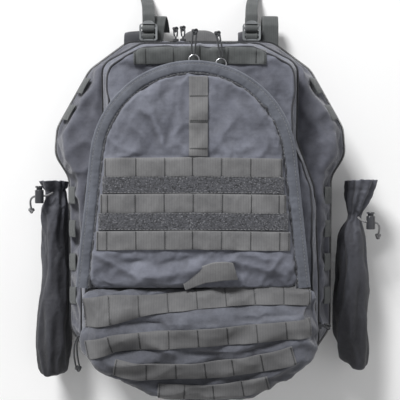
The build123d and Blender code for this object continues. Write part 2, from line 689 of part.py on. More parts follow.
LIFTER_ROUTE = [(264, 35.0), (311, 35.3), (311, 37.8), (288, 37.8), (288, 49.2), (297.2, 49.2),
                (297.2, 41.6), (316, 41.2), (334, 30), (352, 6), (366, 1.5), (392, 1.5)]
LIFTER_RADII = [1.0, 1.0, 1.6, 1.6, 1.6, 1.6, 8, 12, 10, 14]
LOWER_WEB_ROUTE = [(-230, 22.9), (-212, 22.9), (-192, 1.3), (-79.5, 1.3), (-79.5, 12.2),
                   (-89.2, 12.2), (-89.2, 4.4), (-96, 3.5), (-140, 3.5)]
LOWER_WEB_RADII = [6, 6, 1.6, 1.6, 1.6, 1.6, 3]
THIN_WEB = 1.6
for side, sign in SIDES.items():
    with BuildPart() as lifter_web:
        add(band(LIFTER_ROUTE, LIFTER_RADII, THIN_WEB, LIFTER_W, sign * LOCK_X))
    save(lifter_web, f"lifter_web_{side}")
    with BuildPart() as lower_web:
        add(band(LOWER_WEB_ROUTE, LOWER_WEB_RADII, THIN_WEB, LIFTER_W, sign * STRAP_X))
    save(lower_web, f"lower_web_{side}")

# --- shoulder straps: up from the panel, folded over the top edge and back under it -----
STRAP_ROUTE = [(165, 18), (241, 18), (268, 28.4), (289.4, 28.4), (289.4, 5.6), (-58, 5.6)]
for side, sign in SIDES.items():
    with BuildPart() as shoulder_strap:
        add(band(STRAP_ROUTE, 11.3, STRAP_T, STRAP_W, sign * STRAP_X))
        add(keeper(sign * STRAP_X, LOWER_LOCK, -1, [(-65.5, 2.6), (-57, 2.6)]))
    save(shoulder_strap, f"shoulder_strap_{side}")
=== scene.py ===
import json
import math

import bmesh
import bpy
import numpy as np
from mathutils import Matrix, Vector, noise
from mathutils.bvhtree import BVHTree

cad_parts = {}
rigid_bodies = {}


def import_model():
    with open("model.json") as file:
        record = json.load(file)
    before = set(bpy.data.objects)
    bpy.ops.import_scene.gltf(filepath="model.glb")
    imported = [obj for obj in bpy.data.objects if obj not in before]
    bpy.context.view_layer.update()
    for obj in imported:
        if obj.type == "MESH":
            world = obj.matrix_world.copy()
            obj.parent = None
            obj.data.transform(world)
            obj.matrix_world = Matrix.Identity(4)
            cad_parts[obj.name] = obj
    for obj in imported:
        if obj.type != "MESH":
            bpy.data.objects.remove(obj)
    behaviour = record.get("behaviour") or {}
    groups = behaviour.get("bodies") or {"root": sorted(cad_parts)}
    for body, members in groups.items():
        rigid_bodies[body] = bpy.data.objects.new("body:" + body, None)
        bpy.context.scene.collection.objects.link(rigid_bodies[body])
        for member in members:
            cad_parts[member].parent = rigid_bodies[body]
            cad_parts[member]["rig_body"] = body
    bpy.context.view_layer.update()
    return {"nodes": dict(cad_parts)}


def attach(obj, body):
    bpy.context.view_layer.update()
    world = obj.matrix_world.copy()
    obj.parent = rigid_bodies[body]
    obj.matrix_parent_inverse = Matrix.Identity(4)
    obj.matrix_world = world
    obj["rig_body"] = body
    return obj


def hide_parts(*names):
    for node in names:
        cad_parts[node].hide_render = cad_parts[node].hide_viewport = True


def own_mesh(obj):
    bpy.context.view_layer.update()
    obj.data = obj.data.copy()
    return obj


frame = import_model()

# Trauma backpack lying on its back. Lengths in this script are millimetres, as in the
# part's source, and mesh() turns them into metres.
MM = 0.001
SIDES = {"left": -1, "right": 1}
NODES = frame["nodes"]

# --- driving dimensions, the same as the part's ------------------------------------------
WEBBING = 25.4
BARTACK = 38.1            # distance between two bartacks of a webbing row
WALL = 2.6
PANEL_Z = (24.0, 31.0)
TUB_Z = (33.0, 78.0)
LID_Z = (81.0, 124.0)
MID_TUB_Z = (124.2, 150.0)
MID_LID_Z = (153.0, 180.0)
GUSSET_Z = (180.1, 188.5)
ARCH_Z = (189.0, 204.0)
PANEL_TOP = 214.0
BELLY_Z = 236.0
BODY = [(108, 264), (165, 222), (214, 135), (217, 95), (196, 62), (194, -165), (152, -226), (60, -252)]
MIDDLE = [(82, 247), (137, 218), (135, 112), (160, 45), (166, -85), (166, -180), (116, -214), (40, -238)]
LOWER = [(150, -92.5), (156, -104), (156, -172), (118, -205), (60, -234)]
BELLY_PLAN = [(0, -92.5), (150, -92.5), (157, -104), (158, -165), (124, -207), (92, -226), (56, -243),
              (0, -248), (-48, -242), (-98, -216), (-124, -203), (-158, -176), (-158, -150),
              (-157, -104), (-150, -92.5)]
BODY_R, MIDDLE_R, LOWER_R = 30.0, 22.0, 9.0
ARCH_X, ARCH_Y, ARCH_R, ARCH_FLARE, ARCH_FOOT = -9.0, 75.0, 138.0, 6.0, -91.0
BAND_INSET, PANEL_INSET = 9.0, 18.0
ARCH_WALL = ARCH_R - BAND_INSET
FLARE_TUB, FLARE_LID, MID_FLARE = (0.935, 0.965), (0.90, 0.965), (0.955, 0.968)
COIL_H = 3.6
STRAP_X, STRAP_W, LOCK_X = 90.0, 64.0, 80.0
BODY_VOXEL, MIDDLE_VOXEL, FINE_VOXEL = 6.0, 5.0, 4.0
PAST_RIM = 8.0            # how far a shell runs on past its parting plane before it is cut there
ROW_THICK, GUSSET_THICK, POUCH_THICK = 1.6, 1.6, 1.6
SEAM_UP = 0.25            # how far a sewn line stands above the cloth


# --- outlines ----------------------------------------------------------------------------
def both_sides(half):
    return half + [(-x, y) for x, y in reversed(half)]


def rounded(points, radius, closed=True):
    """A polygon's points with its corners rounded off by arcs."""
    pts = [Vector(p) for p in points]
    out = []
    for i, here in enumerate(pts):
        before, after = pts[i - 1], pts[(i + 1) % len(pts)]
        if not closed and i in (0, len(pts) - 1):
            out.append(here)
            continue
        a, b = before - here, after - here
        turn = math.pi - a.angle(b)
        if turn < 0.02:
            out.append(here)
            continue
        cut = min(radius * math.tan(turn / 2), 0.48 * a.length, 0.48 * b.length)
        start, end = here + a.normalized() * cut, here + b.normalized() * cut
        steps = max(2, int(turn / 0.15))
        for k in range(steps + 1):
            t = k / steps
            out.append(start * (1 - t) ** 2 + here * 2 * t * (1 - t) + end * t * t)
    return np.array([tuple(p) for p in out])


def even(points, count, closed=True):
    """The same line with its points evenly spaced."""
    pts = np.vstack([points, points[:1]]) if closed else np.asarray(points)
    gaps = np.linalg.norm(np.diff(pts, axis=0), axis=1)
    at = np.concatenate([[0], np.cumsum(gaps)])
    want = np.linspace(0, at[-1], count, endpoint=not closed)
    return np.stack([np.interp(want, at, pts[:, k]) for k in range(pts.shape[1])], axis=1)


def open_line(points, radius, count):
    """An open line with rounded corners and evenly spaced points."""
    return even(rounded(points, radius, closed=False), count, closed=False)


def outline(half, radius, scale=(1.0, 1.0), grow=0.0, count=360):
    """Evenly spaced points of a mirrored outline, from the middle of its top, clockwise."""
    full = [(0, half[0][1])] + both_sides(half)
    pts = even(rounded([(x * scale[0], y * scale[1]) for x, y in full], radius), count)
    return pts + grow * directions(pts, True)[1] if grow else pts


def arch(radius, foot=ARCH_FOOT, count=360, corner=10.0):
    """The arched pocket's outline, from the middle of its top, clockwise."""
    lean = math.radians(ARCH_FLARE)
    arc = [(radius * math.sin(a), ARCH_Y + radius * math.cos(a))
           for a in np.linspace(0, math.pi / 2 - lean, 40)]
    spring = arc[-1]
    foot_x = spring[0] + (spring[1] - foot) * math.tan(lean)
    right = arc + [(foot_x, foot + corner), (foot_x - corner, foot)]
    return even(np.array(right + [(-x, y) for x, y in reversed(right)]), count) + (ARCH_X, 0)


def at_height(points, z):
    return np.column_stack([points, np.full(len(points), z)])


def directions(line, closed=False):
    """Unit vectors along a flat line and out from it, at each point."""
    along = np.roll(line, -1, axis=0) - np.roll(line, 1, axis=0) if closed else np.gradient(line, axis=0)
    along = along / np.linalg.norm(along, axis=1)[:, None]
    return along, np.stack([-along[:, 1], along[:, 0]], axis=1)


def length_of(line):
    return sum(math.dist(a, b) for a, b in zip(line, line[1:]))


def travelled_along(line):
    return np.concatenate([[0], np.cumsum(np.linalg.norm(np.diff(line, axis=0), axis=1))])


def from_its_gap(line):
    """A closed line that has lost a stretch, put in order from one side of the gap to the other."""
    gap = max(range(len(line) - 1), key=lambda k: math.dist(line[k], line[k + 1]))
    return line[gap + 1:] + line[:gap + 1]


# --- mesh helpers ------------------------------------------------------------------------
def add(name, data):
    obj = bpy.data.objects.new(name, data)
    bpy.context.scene.collection.objects.link(obj)
    return obj


def mesh(name, verts, faces):
    """A new object from points in millimetres."""
    data = bpy.data.meshes.new(name)
    data.from_pydata([tuple(float(c) * MM for c in v) for v in verts], [], [tuple(f) for f in faces])
    data.update()
    return add(name, data)


def grid(rows, wide):
    """Faces between rows of equally many points."""
    return [(k * wide + c, k * wide + c + 1, (k + 1) * wide + c + 1, (k + 1) * wide + c)
            for k in range(rows - 1) for c in range(wide - 1)]


def hoops(rings, count, closed=False, ends=False):
    """Faces between closed rings of equally many points, and flat ends if asked for."""
    faces = []
    for r in range(rings if closed else rings - 1):
        low, high = r * count, (r + 1) % rings * count
        faces += [(low + i, low + (i + 1) % count, high + (i + 1) % count, high + i) for i in range(count)]
    if ends:
        faces += [tuple(range(count))[::-1], tuple(range((rings - 1) * count, rings * count))]
    return faces


def points_of(obj):
    co = np.empty(len(obj.data.vertices) * 3, np.float32)
    obj.data.vertices.foreach_get("co", co)
    return co.reshape(-1, 3).astype(float) / MM


def move_points(obj, pts):
    obj.data.vertices.foreach_set("co", (np.asarray(pts) * MM).astype(np.float32).ravel())
    obj.data.update()


def normals_of(obj):
    no = np.empty(len(obj.data.vertices) * 3, np.float32)
    obj.data.vertices.foreach_get("normal", no)
    return no.reshape(-1, 3).astype(float)


def apply_all(obj):
    """Bakes the object's modifiers into its mesh."""
    depsgraph = bpy.context.evaluated_depsgraph_get()
    done = bpy.data.meshes.new_from_object(obj.evaluated_get(depsgraph))
    obj.modifiers.clear()
    obj.data = done
    return obj


def loft(name, rings):
    """A closed solid through rings of equally many points, with flat ends."""
    return ringed(name, rings, ends=True)


def ringed(name, rings, **how):
    """A mesh through rings of equally many points, its normals facing out."""
    verts = [v for ring in rings for v in ring]
    return tidy_normals(mesh(name, verts, hoops(len(rings), len(rings[0]), **how)))


def tidy_normals(obj):
    bm = bmesh.new()
    bm.from_mesh(obj.data)
    bmesh.ops.recalc_face_normals(bm, faces=bm.faces)
    bm.to_mesh(obj.data)
    bm.free()
    return obj


def face_up(obj):
    """Turns an open sheet so that its normals face the front."""
    if normals_of(obj)[:, 2].mean() < 0:
        obj.data.flip_normals()
    return obj


def displace(obj, amount):
    """Moves each point along its normal by what a function of all points gives."""
    pts = points_of(obj)
    move_points(obj, pts + normals_of(obj) * amount(pts)[:, None])
    return pts


def remesh(obj, voxel):
    """Even quads all over, by a voxel remesh."""
    mod = obj.modifiers.new("voxels", "REMESH")
    mod.mode = "VOXEL"
    mod.voxel_size = voxel * MM
    return apply_all(obj)


def cut(obj, point, normal):
    """Removes what lies on the side of a plane that its normal points to, leaving it open."""
    bm = bmesh.new()
    bm.from_mesh(obj.data)
    bmesh.ops.bisect_plane(bm, geom=bm.verts[:] + bm.edges[:] + bm.faces[:], dist=1e-6,
                           plane_co=Vector(point) * MM, plane_no=Vector(normal), clear_outer=True)
    bm.to_mesh(obj.data)
    bm.free()
    return obj


def smooth_steps(obj, factor, times):
    mod = obj.modifiers.new("relax", "SMOOTH")
    mod.factor = factor
    mod.iterations = times
    return apply_all(obj)


def subdivide(obj, levels=1):
    mod = obj.modifiers.new("subdivision", "SUBSURF")
    mod.levels = mod.render_levels = levels
    return apply_all(obj)


def thicken(obj, thickness, offset=-1.0):
    mod = obj.modifiers.new("cloth thickness", "SOLIDIFY")
    mod.thickness = thickness * MM
    mod.offset = offset
    return apply_all(obj)


def bevel(obj, width, segments=2, angle=30.0):
    mod = obj.modifiers.new("soft edges", "BEVEL")
    mod.width = width * MM
    mod.segments = segments
    mod.limit_method = "ANGLE"
    mod.angle_limit = math.radians(angle)
    return apply_all(obj)


def shade(obj, smooth=True):
    obj.data.polygons.foreach_set("use_smooth", [smooth] * len(obj.data.polygons))
    return obj


def cloth(obj, pinned, pressure=3.0, slack=0.03, cap=6.0, frames=14, bend=0.4):
    """Simulates the surface as cloth that is a little too large, with air behind it.

    pinned gives how firmly each point is held. No point moves further than the cap."""
    start = points_of(obj)
    group = obj.vertex_groups.new(name="held")
    for weight in sorted(set(np.round(pinned, 1))):
        chosen = np.nonzero(np.round(pinned, 1) == weight)[0].tolist()
        if weight > 0:
            group.add(chosen, float(weight), "REPLACE")
    mod = obj.modifiers.new("fabric", "CLOTH")
    what = mod.settings
    what.quality = 4
    what.mass = 0.25
    what.tension_stiffness = what.compression_stiffness = 25
    what.shear_stiffness = 12
    what.bending_stiffness = bend
    what.air_damping = 3
    what.effector_weights.gravity = 0
    what.use_pressure = True
    what.uniform_pressure_force = pressure
    what.shrink_min = -slack
    what.vertex_group_mass = group.name
    mod.collision_settings.use_collision = False
    scene = bpy.context.scene
    for number in range(1, frames + 1):
        scene.frame_set(number)
    depsgraph = bpy.context.evaluated_depsgraph_get()
    shown = obj.evaluated_get(depsgraph).to_mesh()
    co = np.empty(len(shown.vertices) * 3, np.float32)
    shown.vertices.foreach_get("co", co)
    obj.evaluated_get(depsgraph).to_mesh_clear()
    move = co.reshape(-1, 3).astype(float) / MM - start
    far = np.linalg.norm(move, axis=1)
    far[far < 1e-6] = 1e-6
    obj.modifiers.clear()
    scene.frame_set(1)
    move_points(obj, start + move * (cap * np.tanh(far / cap) / far)[:, None])
    return obj


def waves(pts, size, seed):
    """Smooth noise from -1 to 1 at each point, stretched by a size for each direction."""
    return np.array([noise.noise(Vector((p[0] / size[0] + seed, p[1] / size[1], p[2] / size[2])))
                     for p in pts]) * 1.8


def creases(pts, size, seed):
    """Sharp ridges with soft valleys between them, from -1 to 1."""
    return 1 - 2 * np.abs(waves(pts, size, seed))


def ridge(pts, a, b, width):
    """Height of a soft fold that runs from a to b, seen from the front."""
    a, b = np.array(a, float), np.array(b, float)
    run = b - a
    t = np.clip(((pts[:, :2] - a) @ run) / (run @ run), 0, 1)
    near = pts[:, :2] - (a + t[:, None] * run)
    return np.exp(-(np.linalg.norm(near, axis=1) / width) ** 1.35) * np.sin(np.pi * (0.12 + 0.76 * t))


def step(x, low, high):
    t = np.clip((x - low) / (high - low), 0, 1)
    return t * t * (3 - 2 * t)


def surface_of(*objs):
    """What a strip of webbing is laid on."""
    verts, faces = [], []
    for obj in objs:
        base = len(verts)
        verts += [Vector(v) for v in points_of(obj)]
        faces += [[base + i for i in f.vertices] for f in obj.data.polygons]
    return BVHTree.FromPolygons(verts, faces)


def front_height(tree, x, y, fall_back):
    hit = tree.ray_cast(Vector((x, y, 400)), Vector((0, 0, -1)))
    return hit[0].z if hit[0] is not None else fall_back


def finish_piece(obj, body, material, replaces=()):
    obj.data.materials.clear()
    obj.data.materials.append(material)
    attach(obj, body)
    if replaces:
        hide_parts(*replaces)
    return obj


# --- materials ---------------------------------------------------------------------------
def srgb(r, g, b):
    """A colour given as it looks on screen, 0 to 255."""
    def one(c):
        c /= 255
        return c / 12.92 if c <= 0.04045 else ((c + 0.055) / 1.055) ** 2.4
    return (one(r), one(g), one(b), 1.0)


def toned(colour, share, plus=0.0):
    """A colour made darker or paler by a share."""
    return tuple(min(1.0, c * share + plus) for c in colour[:3]) + (1.0,)


class Nodes:
    """Short calls that add a shader node and join its sockets."""

    def __init__(self, name):
        self.mat = bpy.data.materials.new(name)
        self.mat.use_nodes = True
        self.tree = self.mat.node_tree
        self.bsdf = self.tree.nodes["Principled BSDF"]

    def join(self, value, socket):
        if hasattr(value, "is_output"):
            self.tree.links.new(value, socket)
        else:
            socket.default_value = value

    def math(self, kind, a, b=0.0, c=None):
        node = self.tree.nodes.new("ShaderNodeMath")
        node.operation = kind
        self.join(a, node.inputs[0])
        self.join(b, node.inputs[1])
        if c is not None:
            self.join(c, node.inputs[2])
        return node.outputs[0]

    def place(self):
        """Object coordinates in metres."""
        return self.tree.nodes.new("ShaderNodeTexCoord").outputs["Object"]

    def axes(self, vector=None):
        """A vector's three numbers, or else the object coordinates'."""
        split = self.tree.nodes.new("ShaderNodeSeparateXYZ")
        self.join(vector or self.place(), split.inputs[0])
        return split.outputs

    def flat_place(self):
        """Two coordinates in the plane that the surface mostly lies in, so weave never smears."""
        x, y, z = self.axes()
        facing = self.axes(self.tree.nodes.new("ShaderNodeTexCoord").outputs["Normal"])
        size = [self.math("ABSOLUTE", part) for part in facing]
        up = self.math("GREATER_THAN", size[2], 0.62)
        sideways = self.math("GREATER_THAN", size[0], size[1])
        u = self.mix_value(up, self.mix_value(sideways, x, y), x)
        return u, self.mix_value(up, z, y)

    def mix_value(self, factor, a, b):
        node = self.tree.nodes.new("ShaderNodeMix")
        node.data_type = "FLOAT"
        self.join(factor, node.inputs[0])
        self.join(a, node.inputs[2])
        self.join(b, node.inputs[3])
        return node.outputs[0]

    def mix_colour(self, factor, a, b, how="MIX"):
        node = self.tree.nodes.new("ShaderNodeMix")
        node.data_type = "RGBA"
        node.blend_type = how
        self.join(factor, node.inputs[0])
        self.join(a, node.inputs[6])
        self.join(b, node.inputs[7])
        return node.outputs[2]

    def noise(self, size_mm, detail=3.0, rough=0.5, stretch=None):
        """Noise whose features are about that large."""
        where = self.place()
        if stretch:
            node = self.tree.nodes.new("ShaderNodeMapping")
            self.join(where, node.inputs[0])
            node.inputs["Scale"].default_value = stretch
            where = node.outputs[0]
        node = self.tree.nodes.new("ShaderNodeTexNoise")
        self.join(where, node.inputs["Vector"])
        node.inputs["Scale"].default_value = 1 / (size_mm * MM)
        node.inputs["Detail"].default_value = detail
        node.inputs["Roughness"].default_value = rough
        return node.outputs[0]

    def spread(self, value, low, high, to_low=0.0, to_high=1.0):
        node = self.tree.nodes.new("ShaderNodeMapRange")
        self.join(value, node.inputs[0])
        for socket, number in zip(node.inputs[1:5], (low, high, to_low, to_high)):
            socket.default_value = number
        return node.outputs[0]

    def threads(self, coordinate, pitch_mm):
        """Rounded threads side by side, from 0 in the gaps to 1 on their tops."""
        turned = self.math("MULTIPLY", coordinate, math.pi / (pitch_mm * MM))
        return self.math("ABSOLUTE", self.math("SINE", turned))

    def wear_and_highlight(self):
        """How much an edge stands proud, from 0 to 1."""
        geometry = self.tree.nodes.new("ShaderNodeNewGeometry")
        return self.spread(geometry.outputs["Pointiness"], 0.50, 0.60)

    def painted_fold_shade(self, amount):
        """How deep a surface lies in a fold, from 0 to some amount, used as painted shade in the folds."""
        geometry = self.tree.nodes.new("ShaderNodeNewGeometry")
        return self.spread(geometry.outputs["Pointiness"], 0.495, 0.40, 0.0, amount)

    def bump(self, height, depth_mm, strength=1.0, under=None):
        node = self.tree.nodes.new("ShaderNodeBump")
        node.inputs["Strength"].default_value = strength
        node.inputs["Distance"].default_value = depth_mm * MM
        self.join(height, node.inputs["Height"])
        if under is not None:
            self.join(under, node.inputs["Normal"])
        return node.outputs[0]

    def finish(self, colour, roughness, normal=None, metallic=0.0, sheen=0.0, coat=0.0):
        self.join(colour, self.bsdf.inputs["Base Color"])
        self.join(roughness, self.bsdf.inputs["Roughness"])
        self.bsdf.inputs["Metallic"].default_value = metallic
        self.bsdf.inputs["Sheen Weight"].default_value = sheen
        self.bsdf.inputs["Sheen Roughness"].default_value = 0.5
        self.bsdf.inputs["Coat Weight"].default_value = coat
        if normal is not None:
            self.join(normal, self.bsdf.inputs["Normal"])
        return self.mat


def woven(name, dark, light, pitch=0.9, wear_and_highlight=0.35, sheen=0.25, crinkle=0.5, painted_shade_below=None):
    """Coated nylon cloth: a plain weave, faded in patches, pale on its crests from rubbed wear and a painted
    highlight, and with painted shade in its folds.
    """
    n = Nodes(name)
    u, v = n.flat_place()
    weave = n.math("MULTIPLY", n.threads(u, pitch), n.threads(v, pitch))
    grid = n.math("MAXIMUM", n.math("POWER", n.threads(u, pitch * 7), 24.0),
                  n.math("POWER", n.threads(v, pitch * 7), 24.0))
    patches = n.spread(n.noise(55, 5, 0.6), 0.32, 0.70)
    colour = n.mix_colour(patches, dark, light)
    mottle = n.spread(n.noise(20, 7, 0.7), 0.40, 0.60, 0.42, 0.0)
    colour = n.mix_colour(mottle, colour, toned(dark, 0.5))
    # painted shade: the cloth grows darker from one height down to another
    if painted_shade_below:                     # darker from one height down to another, by some amount
        wavy = n.math("ADD", n.axes()[1], n.math("MULTIPLY", n.noise(60, 3), 0.08))
        lower = n.spread(wavy, (painted_shade_below[0] + 40) * MM, (painted_shade_below[1] + 40) * MM, 0.0, painted_shade_below[2])
        colour = n.mix_colour(lower, colour, toned(dark, 0.22))
    fleck = n.spread(n.noise(1.1, 2), 0.35, 0.75, 0.0, 0.22)
    colour = n.mix_colour(fleck, colour, light)
    colour = n.mix_colour(n.math("MULTIPLY", n.spread(weave, 0.0, 0.5, 1.0, 0.0), 0.35), colour,
                          toned(dark, 0.45))
    # painted shade: darker where the surface lies deep in a fold
    colour = n.mix_colour(n.painted_fold_shade(0.75), colour, toned(dark, 0.32))
    # pale on proud crests: partly rubbed wear, partly a painted highlight
    colour = n.mix_colour(n.math("MULTIPLY", n.wear_and_highlight(), wear_and_highlight), colour, toned(light, 1.7))
    rough = n.spread(n.noise(18, 3), 0.3, 0.7, 0.66, 0.86)
    soft = n.bump(n.noise(11, 5, 0.6), 2.2, crinkle)
    fine = n.bump(n.math("ADD", weave, n.math("MULTIPLY", grid, 0.5)), 0.16, 0.8, soft)
    return n.finish(colour, rough, fine, sheen=sheen)


def ribbed(name, dark, light, pitch=1.3, wear_and_highlight=0.3):
    """Nylon webbing: ribs across a tight weave, with darker and lighter yarns."""
    n = Nodes(name)
    u, v = n.flat_place()
    ribs = n.threads(u, pitch)
    cross = n.threads(v, pitch * 0.8)
    weave = n.math("MULTIPLY", ribs, n.math("ADD", 0.5, n.math("MULTIPLY", cross, 0.5)))
    yarns = n.spread(n.noise(2.2, 2, 0.5, (1.0, 12.0, 1.0)), 0.3, 0.7)
    patches = n.spread(n.noise(26, 5, 0.6), 0.36, 0.64)
    colour = n.mix_colour(n.math("MULTIPLY", n.math("ADD", yarns, patches), 0.5), dark, light)
    broad = n.spread(n.threads(u, pitch * 2.6), 0.0, 0.45, 0.35, 0.0)
    colour = n.mix_colour(broad, colour, toned(dark, 0.5))
    gaps = n.math("MULTIPLY", n.spread(weave, 0.0, 0.6, 1.0, 0.0), 0.5)
    colour = n.mix_colour(gaps, colour, toned(dark, 0.4))
    colour = n.mix_colour(n.math("MULTIPLY", n.wear_and_highlight(), wear_and_highlight), colour, toned(light, 1.5))
    fine = n.bump(weave, 0.3, 0.9, n.bump(n.noise(12, 2), 0.6, 0.4))
    return n.finish(colour, n.spread(weave, 0, 1, 0.85, 0.62), fine, sheen=0.15)


def looped(name, dark, light):
    """The loop half of hook-and-loop tape: a dark fuzzy pile with pale flecks."""
    n = Nodes(name)
    voronoi = n.tree.nodes.new("ShaderNodeTexVoronoi")
    n.join(n.place(), voronoi.inputs["Vector"])
    voronoi.inputs["Scale"].default_value = 620
    pile = n.math("ADD", n.spread(n.noise(3.4, 4, 0.75), 0.40, 0.62), voronoi.outputs["Distance"])
    colour = n.mix_colour(n.spread(pile, 0.25, 1.05), dark, light)
    flecks = n.spread(n.noise(2.0, 2, 0.6), 0.58, 0.66)
    colour = n.mix_colour(n.math("MULTIPLY", flecks, 0.8), colour, srgb(140, 141, 146))
    return n.finish(colour, 0.95, n.bump(pile, 0.9, 1.0), sheen=0.4)


def meshy(name, dark, light):
    """Spacer mesh: a honeycomb of small holes in a thick knit."""
    n = Nodes(name)
    u, v = n.flat_place()
    pitch = 2.4
    holes = n.math("MULTIPLY", n.threads(n.math("ADD", u, v), pitch),
                   n.threads(n.math("SUBTRACT", u, v), pitch))
    colour = n.mix_colour(n.spread(holes, 0.1, 0.7), dark, light)
    colour = n.mix_colour(n.spread(n.noise(45, 4), 0.35, 0.75, 0, 0.35), colour, light)
    return n.finish(colour, 0.92, n.bump(holes, 0.7, 1.0), sheen=0.3)


def moulded(name, colour, rough=0.45, coat=0.0):
    """Moulded plastic: a fine grain, a slight parting shade and scuffed edges."""
    n = Nodes(name)
    shade_patches = n.spread(n.noise(14, 4), 0.3, 0.7, 0.0, 0.3)
    mixed = n.mix_colour(shade_patches, colour, toned(colour, 0.7))
    mixed = n.mix_colour(n.math("MULTIPLY", n.wear_and_highlight(), 0.55), mixed, toned(colour, 2.2, 0.03))
    return n.finish(mixed, n.spread(n.noise(3, 3), 0.3, 0.7, rough - 0.08, rough + 0.14),
                    n.bump(n.noise(0.5, 2), 0.06, 0.6), coat=coat)


def metal(name, colour, rough=0.25):
    n = Nodes(name)
    scratched = n.spread(n.noise(0.8, 3, 0.5, (1.0, 14.0, 1.0)), 0.4, 0.7, rough, rough + 0.2)
    tone = n.mix_colour(n.spread(n.noise(4, 3), 0.35, 0.75, 0, 0.5), colour,
                        toned(colour, 0.6))
    return n.finish(tone, scratched, n.bump(n.noise(1.5, 3), 0.05, 0.5), metallic=1.0)


def braided(name, dark, light, pitch=1.1):
    """Braided cord: crossing strands in two tones."""
    n = Nodes(name)
    x, y, z = n.axes()
    a = n.math("ADD", n.math("ADD", x, y), z)
    b = n.math("SUBTRACT", n.math("SUBTRACT", y, x), z)
    strands = n.math("MULTIPLY", n.threads(a, pitch), n.threads(b, pitch))
    colour = n.mix_colour(n.spread(strands, 0.1, 0.7), dark, light)
    return n.finish(colour, 0.8, n.bump(strands, 0.3, 1.0), sheen=0.2)


def threaded(name, colour):
    n = Nodes(name)
    x, y, _ = n.axes()
    twist = n.threads(n.math("ADD", x, y), 0.6)
    tone = n.mix_colour(twist, toned(colour, 0.6), colour)
    return n.finish(tone, 0.7, n.bump(twist, 0.1, 0.8))


FABRIC = woven("pack fabric", srgb(90, 92, 103), srgb(122, 125, 137))
# a darker copy of the pack fabric for the side walls: painted shade where they face away from the light
SHADED_SIDE_FABRIC = woven("pack fabric, sides", srgb(78, 79, 89), srgb(101, 103, 114))
BAND_FABRIC = woven("storm flap fabric", srgb(80, 83, 92), srgb(104, 108, 118), wear_and_highlight=0.6)
# lower pocket cloth, darker towards the bottom of the pack: painted shade on the belly that faces away from
# the light
LOWER_FABRIC = woven("lower pocket fabric", srgb(74, 75, 84), srgb(106, 109, 119), crinkle=0.8,
                     painted_shade_below=(-120, -245, 0.65))
SHADE_FABRIC = woven("shaded fabric", srgb(46, 47, 53), srgb(62, 63, 70))
PIPING = woven("piping", srgb(40, 41, 46), srgb(60, 61, 67), pitch=0.6)
# pouch cloth, darker towards the lower ends of the pouches: painted shade
POUCH_FABRIC = woven("pouch fabric", srgb(66, 66, 73), srgb(96, 98, 107), crinkle=0.8, sheen=0.08,
                     painted_shade_below=(30, -190, 1.0))
LINING = woven("lining", srgb(80, 82, 90), srgb(100, 102, 110), pitch=0.7, wear_and_highlight=0.1)
WEB = ribbed("webbing", srgb(94, 94, 96), srgb(130, 130, 131))
DARK_WEB = ribbed("webbing, dark", srgb(66, 69, 70), srgb(96, 99, 99))
# a darker copy of the webbing for the rows on the lower pocket: painted shade
SHADED_LOWER_WEB = ribbed("lower webbing", srgb(84, 84, 86), srgb(110, 110, 111))
PILE = looped("loop tape", srgb(24, 25, 28), srgb(80, 81, 87))
MESH_CLOTH = meshy("back mesh", srgb(30, 31, 34), srgb(72, 74, 80))
ELASTIC = ribbed("elastic", srgb(28, 28, 30), srgb(44, 44, 47), pitch=0.8)
TAPE = woven("zip tape", srgb(38, 39, 43), srgb(54, 55, 60), pitch=0.5, wear_and_highlight=0.1)
COIL_NYLON = moulded("zip coil", srgb(44, 45, 48), 0.35)
SHEET_PLASTIC = moulded("stiffener", srgb(52, 53, 55), 0.5)
BUCKLE = moulded("buckle plastic", srgb(104, 107, 109), 0.34, coat=0.2)
LOCK_PLASTIC = moulded("cord lock plastic", srgb(58, 59, 63), 0.32, coat=0.3)
SLIDER_METAL = metal("slider", srgb(92, 93, 96), 0.35)
RING_METAL = metal("ring", srgb(205, 206, 210), 0.16)
SPRING_METAL = metal("spring", srgb(180, 180, 184), 0.25)
PULL_CORD = braided("pull cord", srgb(36, 37, 40), srgb(82, 84, 88))
DRAW_CORD = braided("drawcord", srgb(96, 96, 98), srgb(168, 168, 170))
THREAD = threaded("thread", srgb(40, 41, 43))
PALE_THREAD = threaded("pale thread", srgb(150, 151, 153))


# --- compartments ------------------------------------------------------------------------
def soft_shell(name, rings, voxel, cut_at, open_up, held, shape, sim):
    """A fabric compartment: a solid through rings, made even, shaped, blown up a little as
    cloth, cut open at its parting plane and given the wall's thickness."""
    obj = remesh(loft(name, rings), voxel)
    cut(obj, (0, 0, cut_at), (0, 0, 1 if open_up else -1))
    displace(obj, shape)
    cloth(obj, held(points_of(obj)), **sim)
    pts = points_of(obj)
    rim = np.abs(pts[:, 2] - cut_at) < 0.8
    pts[rim, 2] = cut_at
    move_points(obj, pts)
    subdivide(obj)
    return shade(thicken(obj, WALL))


def levels(half, radius, low_scale, high_scale, z, steps):
    """Outlines up a wall that leans from one scale to another, each step a height above its
    foot and how far the outline is grown."""
    rings = []
    for up, grow in steps:
        t = up / (z[1] - z[0])
        scale = [a + (b - a) * t for a, b in zip(low_scale, high_scale)]
        rings.append(at_height(outline(half, radius, scale, grow), z[0] + up))
    return rings


def near_rim(pts, z, reach=9.0):
    return 1 - step(np.abs(pts[:, 2] - z), 1.0, reach)


# rear half of the main compartment
def tub_folds(pts):
    side = 1 - step(np.abs(pts[:, 2] - 60), 14, 26)
    return side * (3.2 * waves(pts, (30, 30, 90), 3) - 1.6) * (1 - near_rim(pts, TUB_Z[1]))


